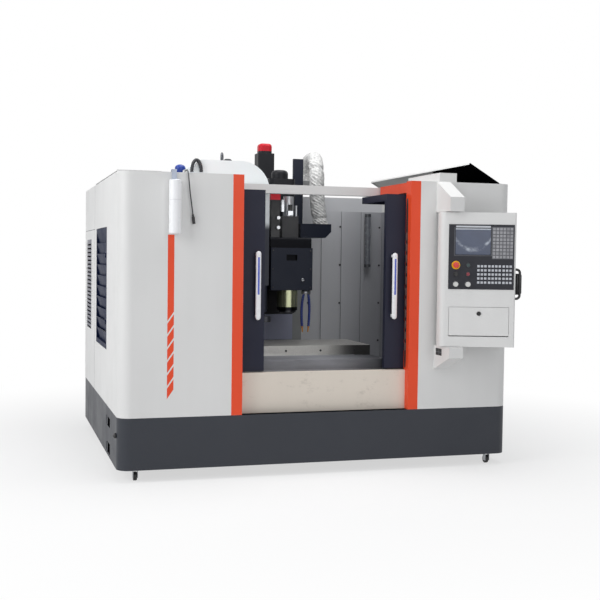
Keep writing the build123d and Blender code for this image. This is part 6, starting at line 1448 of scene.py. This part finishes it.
class MACHINING_OT_stage(bpy.types.Operator):
    """Set the floor, the light and the camera"""

    bl_idname = "machining.stage"
    bl_label = "Stage"

    def execute(self, context):
        settings = context.scene.machining.stage
        scene = context.scene
        scene.view_settings.view_transform = "Standard"
        self.floor(scene, settings)
        self.world(scene)
        self.lamp("side lamp", (-6.6, -2.6, 4.2), (0, -0.2, 1.0), 4.5, 290)
        self.lamp("front lamp", (1.0, -8.0, 3.6), (0, -0.4, 1.0), 4.5, 105)
        self.lamp("top lamp", (0.2, -0.6, 5.6), (0, -0.1, 0.9), 3.5, 170)
        self.camera(scene, settings)
        return {"FINISHED"}

    def floor(self, scene, settings):
        """A large pale plane: its own shade near the machine, melting into white further off."""
        share = np.linspace(-40, 40, 3)
        across, along = np.meshgrid(share, share)
        vertices = np.stack((across, along, np.zeros_like(across)), axis=-1)
        mesh = bpy.data.meshes.new("floor")
        mesh.from_pydata(vertices.reshape(-1, 3).tolist(), [], grid_faces(3, 3, wrap=False).tolist())
        work = Finish("pale floor")
        work.finish(
            Base_Color=work.shade(settings.floor, work.noise(0.6, 3), 0.01), Roughness=0.8,
            Specular_IOR_Level=0.1,
        )
        distance = work.node("VectorMath", Vector=work.place)
        distance.operation = "LENGTH"
        fade = work.ramp(distance.outputs["Value"], 1.4, 4.2, 0.62, 1.0)
        white = work.node("Emission", Color=(1, 1, 1), Strength=1.0)
        factor = work.product(fade, seen_rays(work.tree))
        mix_shaders(work.tree, factor, work.shader, white, work.tree.nodes["Material Output"])
        mesh.materials.append(work.material)
        floor = bpy.data.objects.new("floor", mesh)
        scene.collection.objects.link(floor)

    def world(self, scene):
        """Soft light from all round, white where the camera, a mirror or glass sees it."""
        world = bpy.data.worlds.new("studio")
        world.use_nodes = True
        tree = world.node_tree
        tree.nodes.clear()
        backgrounds = []
        for shade, strength in (((0.92, 0.95, 1.0, 1), 0.27), ((1, 1, 1, 1), 1.0)):
            background = tree.nodes.new("ShaderNodeBackground")
            background.inputs[0].default_value = shade
            background.inputs[1].default_value = strength
            backgrounds.append(background)
        mix_shaders(tree, seen_rays(tree), *backgrounds, tree.nodes.new("ShaderNodeOutputWorld"))
        scene.world = world

    def lamp(self, name, place, target, size, power):
        """A soft square lamp that looks at a point."""
        light = bpy.data.lights.new(name, "AREA")
        light.size = size
        light.energy = power
        direction = np.array(target, float) - np.array(place, float)
        back = -direction / np.linalg.norm(direction)
        side = np.cross((0, 0, 1), back)
        side /= np.linalg.norm(side)
        place_at(bpy.data.objects.new(name, light), place, (side, np.cross(back, side), back))

    def camera(self, scene, settings):
        """The camera from its place, yaw, pitch and roll."""
        sin_yaw, cos_yaw = math.sin(settings.yaw), math.cos(settings.yaw)
        sin_pitch, cos_pitch = math.sin(settings.pitch), math.cos(settings.pitch)
        forward = np.array((sin_yaw * cos_pitch, cos_yaw * cos_pitch, -sin_pitch))
        level = np.array((cos_yaw, -sin_yaw, 0))
        down = np.cross(forward, level)
        right = level * math.cos(settings.roll) + down * math.sin(settings.roll)
        up = level * math.sin(settings.roll) - down * math.cos(settings.roll)
        data = bpy.data.cameras.new("camera")
        data.lens = settings.lens
        data.sensor_width = 36
        data.clip_end = 120
        camera = bpy.data.objects.new("camera", data)
        place_at(camera, (settings.camera_x, settings.camera_y, settings.camera_z), (right, up, -forward))
        scene.camera = camera


class MACHINING_PT_panel(bpy.types.Panel):
    """Lists the operators in the 3D view's sidebar"""

    bl_idname = "MACHINING_PT_panel"
    bl_label = "Machining centre"
    bl_space_type = "VIEW_3D"
    bl_region_type = "UI"
    bl_category = "Machining centre"

    def draw(self, context):
        for operator in OPERATORS:
            self.layout.operator(operator.bl_idname)


SETTINGS = (
    EnclosureSettings, MetalSettings, ControlSettings, SoftSettings, HandleSettings, StageSettings,
    MachiningSettings,
)
OPERATORS = (
    MACHINING_OT_stage, MACHINING_OT_enclosure, MACHINING_OT_structure, MACHINING_OT_control,
    MACHINING_OT_sleeve, MACHINING_OT_hoses, MACHINING_OT_cable, MACHINING_OT_handles, MACHINING_OT_pads,
    MACHINING_OT_fasteners, MACHINING_OT_folds, MACHINING_OT_magazine_fittings,
)


def register():
    """Register the settings, operators and panel."""
    for group in SETTINGS + OPERATORS + (MACHINING_PT_panel,):
        bpy.utils.register_class(group)
    bpy.types.Scene.machining = PointerProperty(type=MachiningSettings)


def unregister():
    """Remove what register added."""
    del bpy.types.Scene.machining
    for group in reversed(SETTINGS + OPERATORS + (MACHINING_PT_panel,)):
        bpy.utils.unregister_class(group)


def main():
    """Build every piece in order."""
    register()
    bpy.ops.machining.stage()
    bpy.ops.machining.enclosure()
    bpy.ops.machining.structure()
    bpy.ops.machining.control()
    bpy.ops.machining.sleeve()
    bpy.ops.machining.hoses()
    bpy.ops.machining.cable()
    bpy.ops.machining.handles()
    bpy.ops.machining.pads()
    bpy.ops.machining.fasteners()
    bpy.ops.machining.folds()
    bpy.ops.machining.magazine_fittings()


if __name__ == "__main__":
    main()
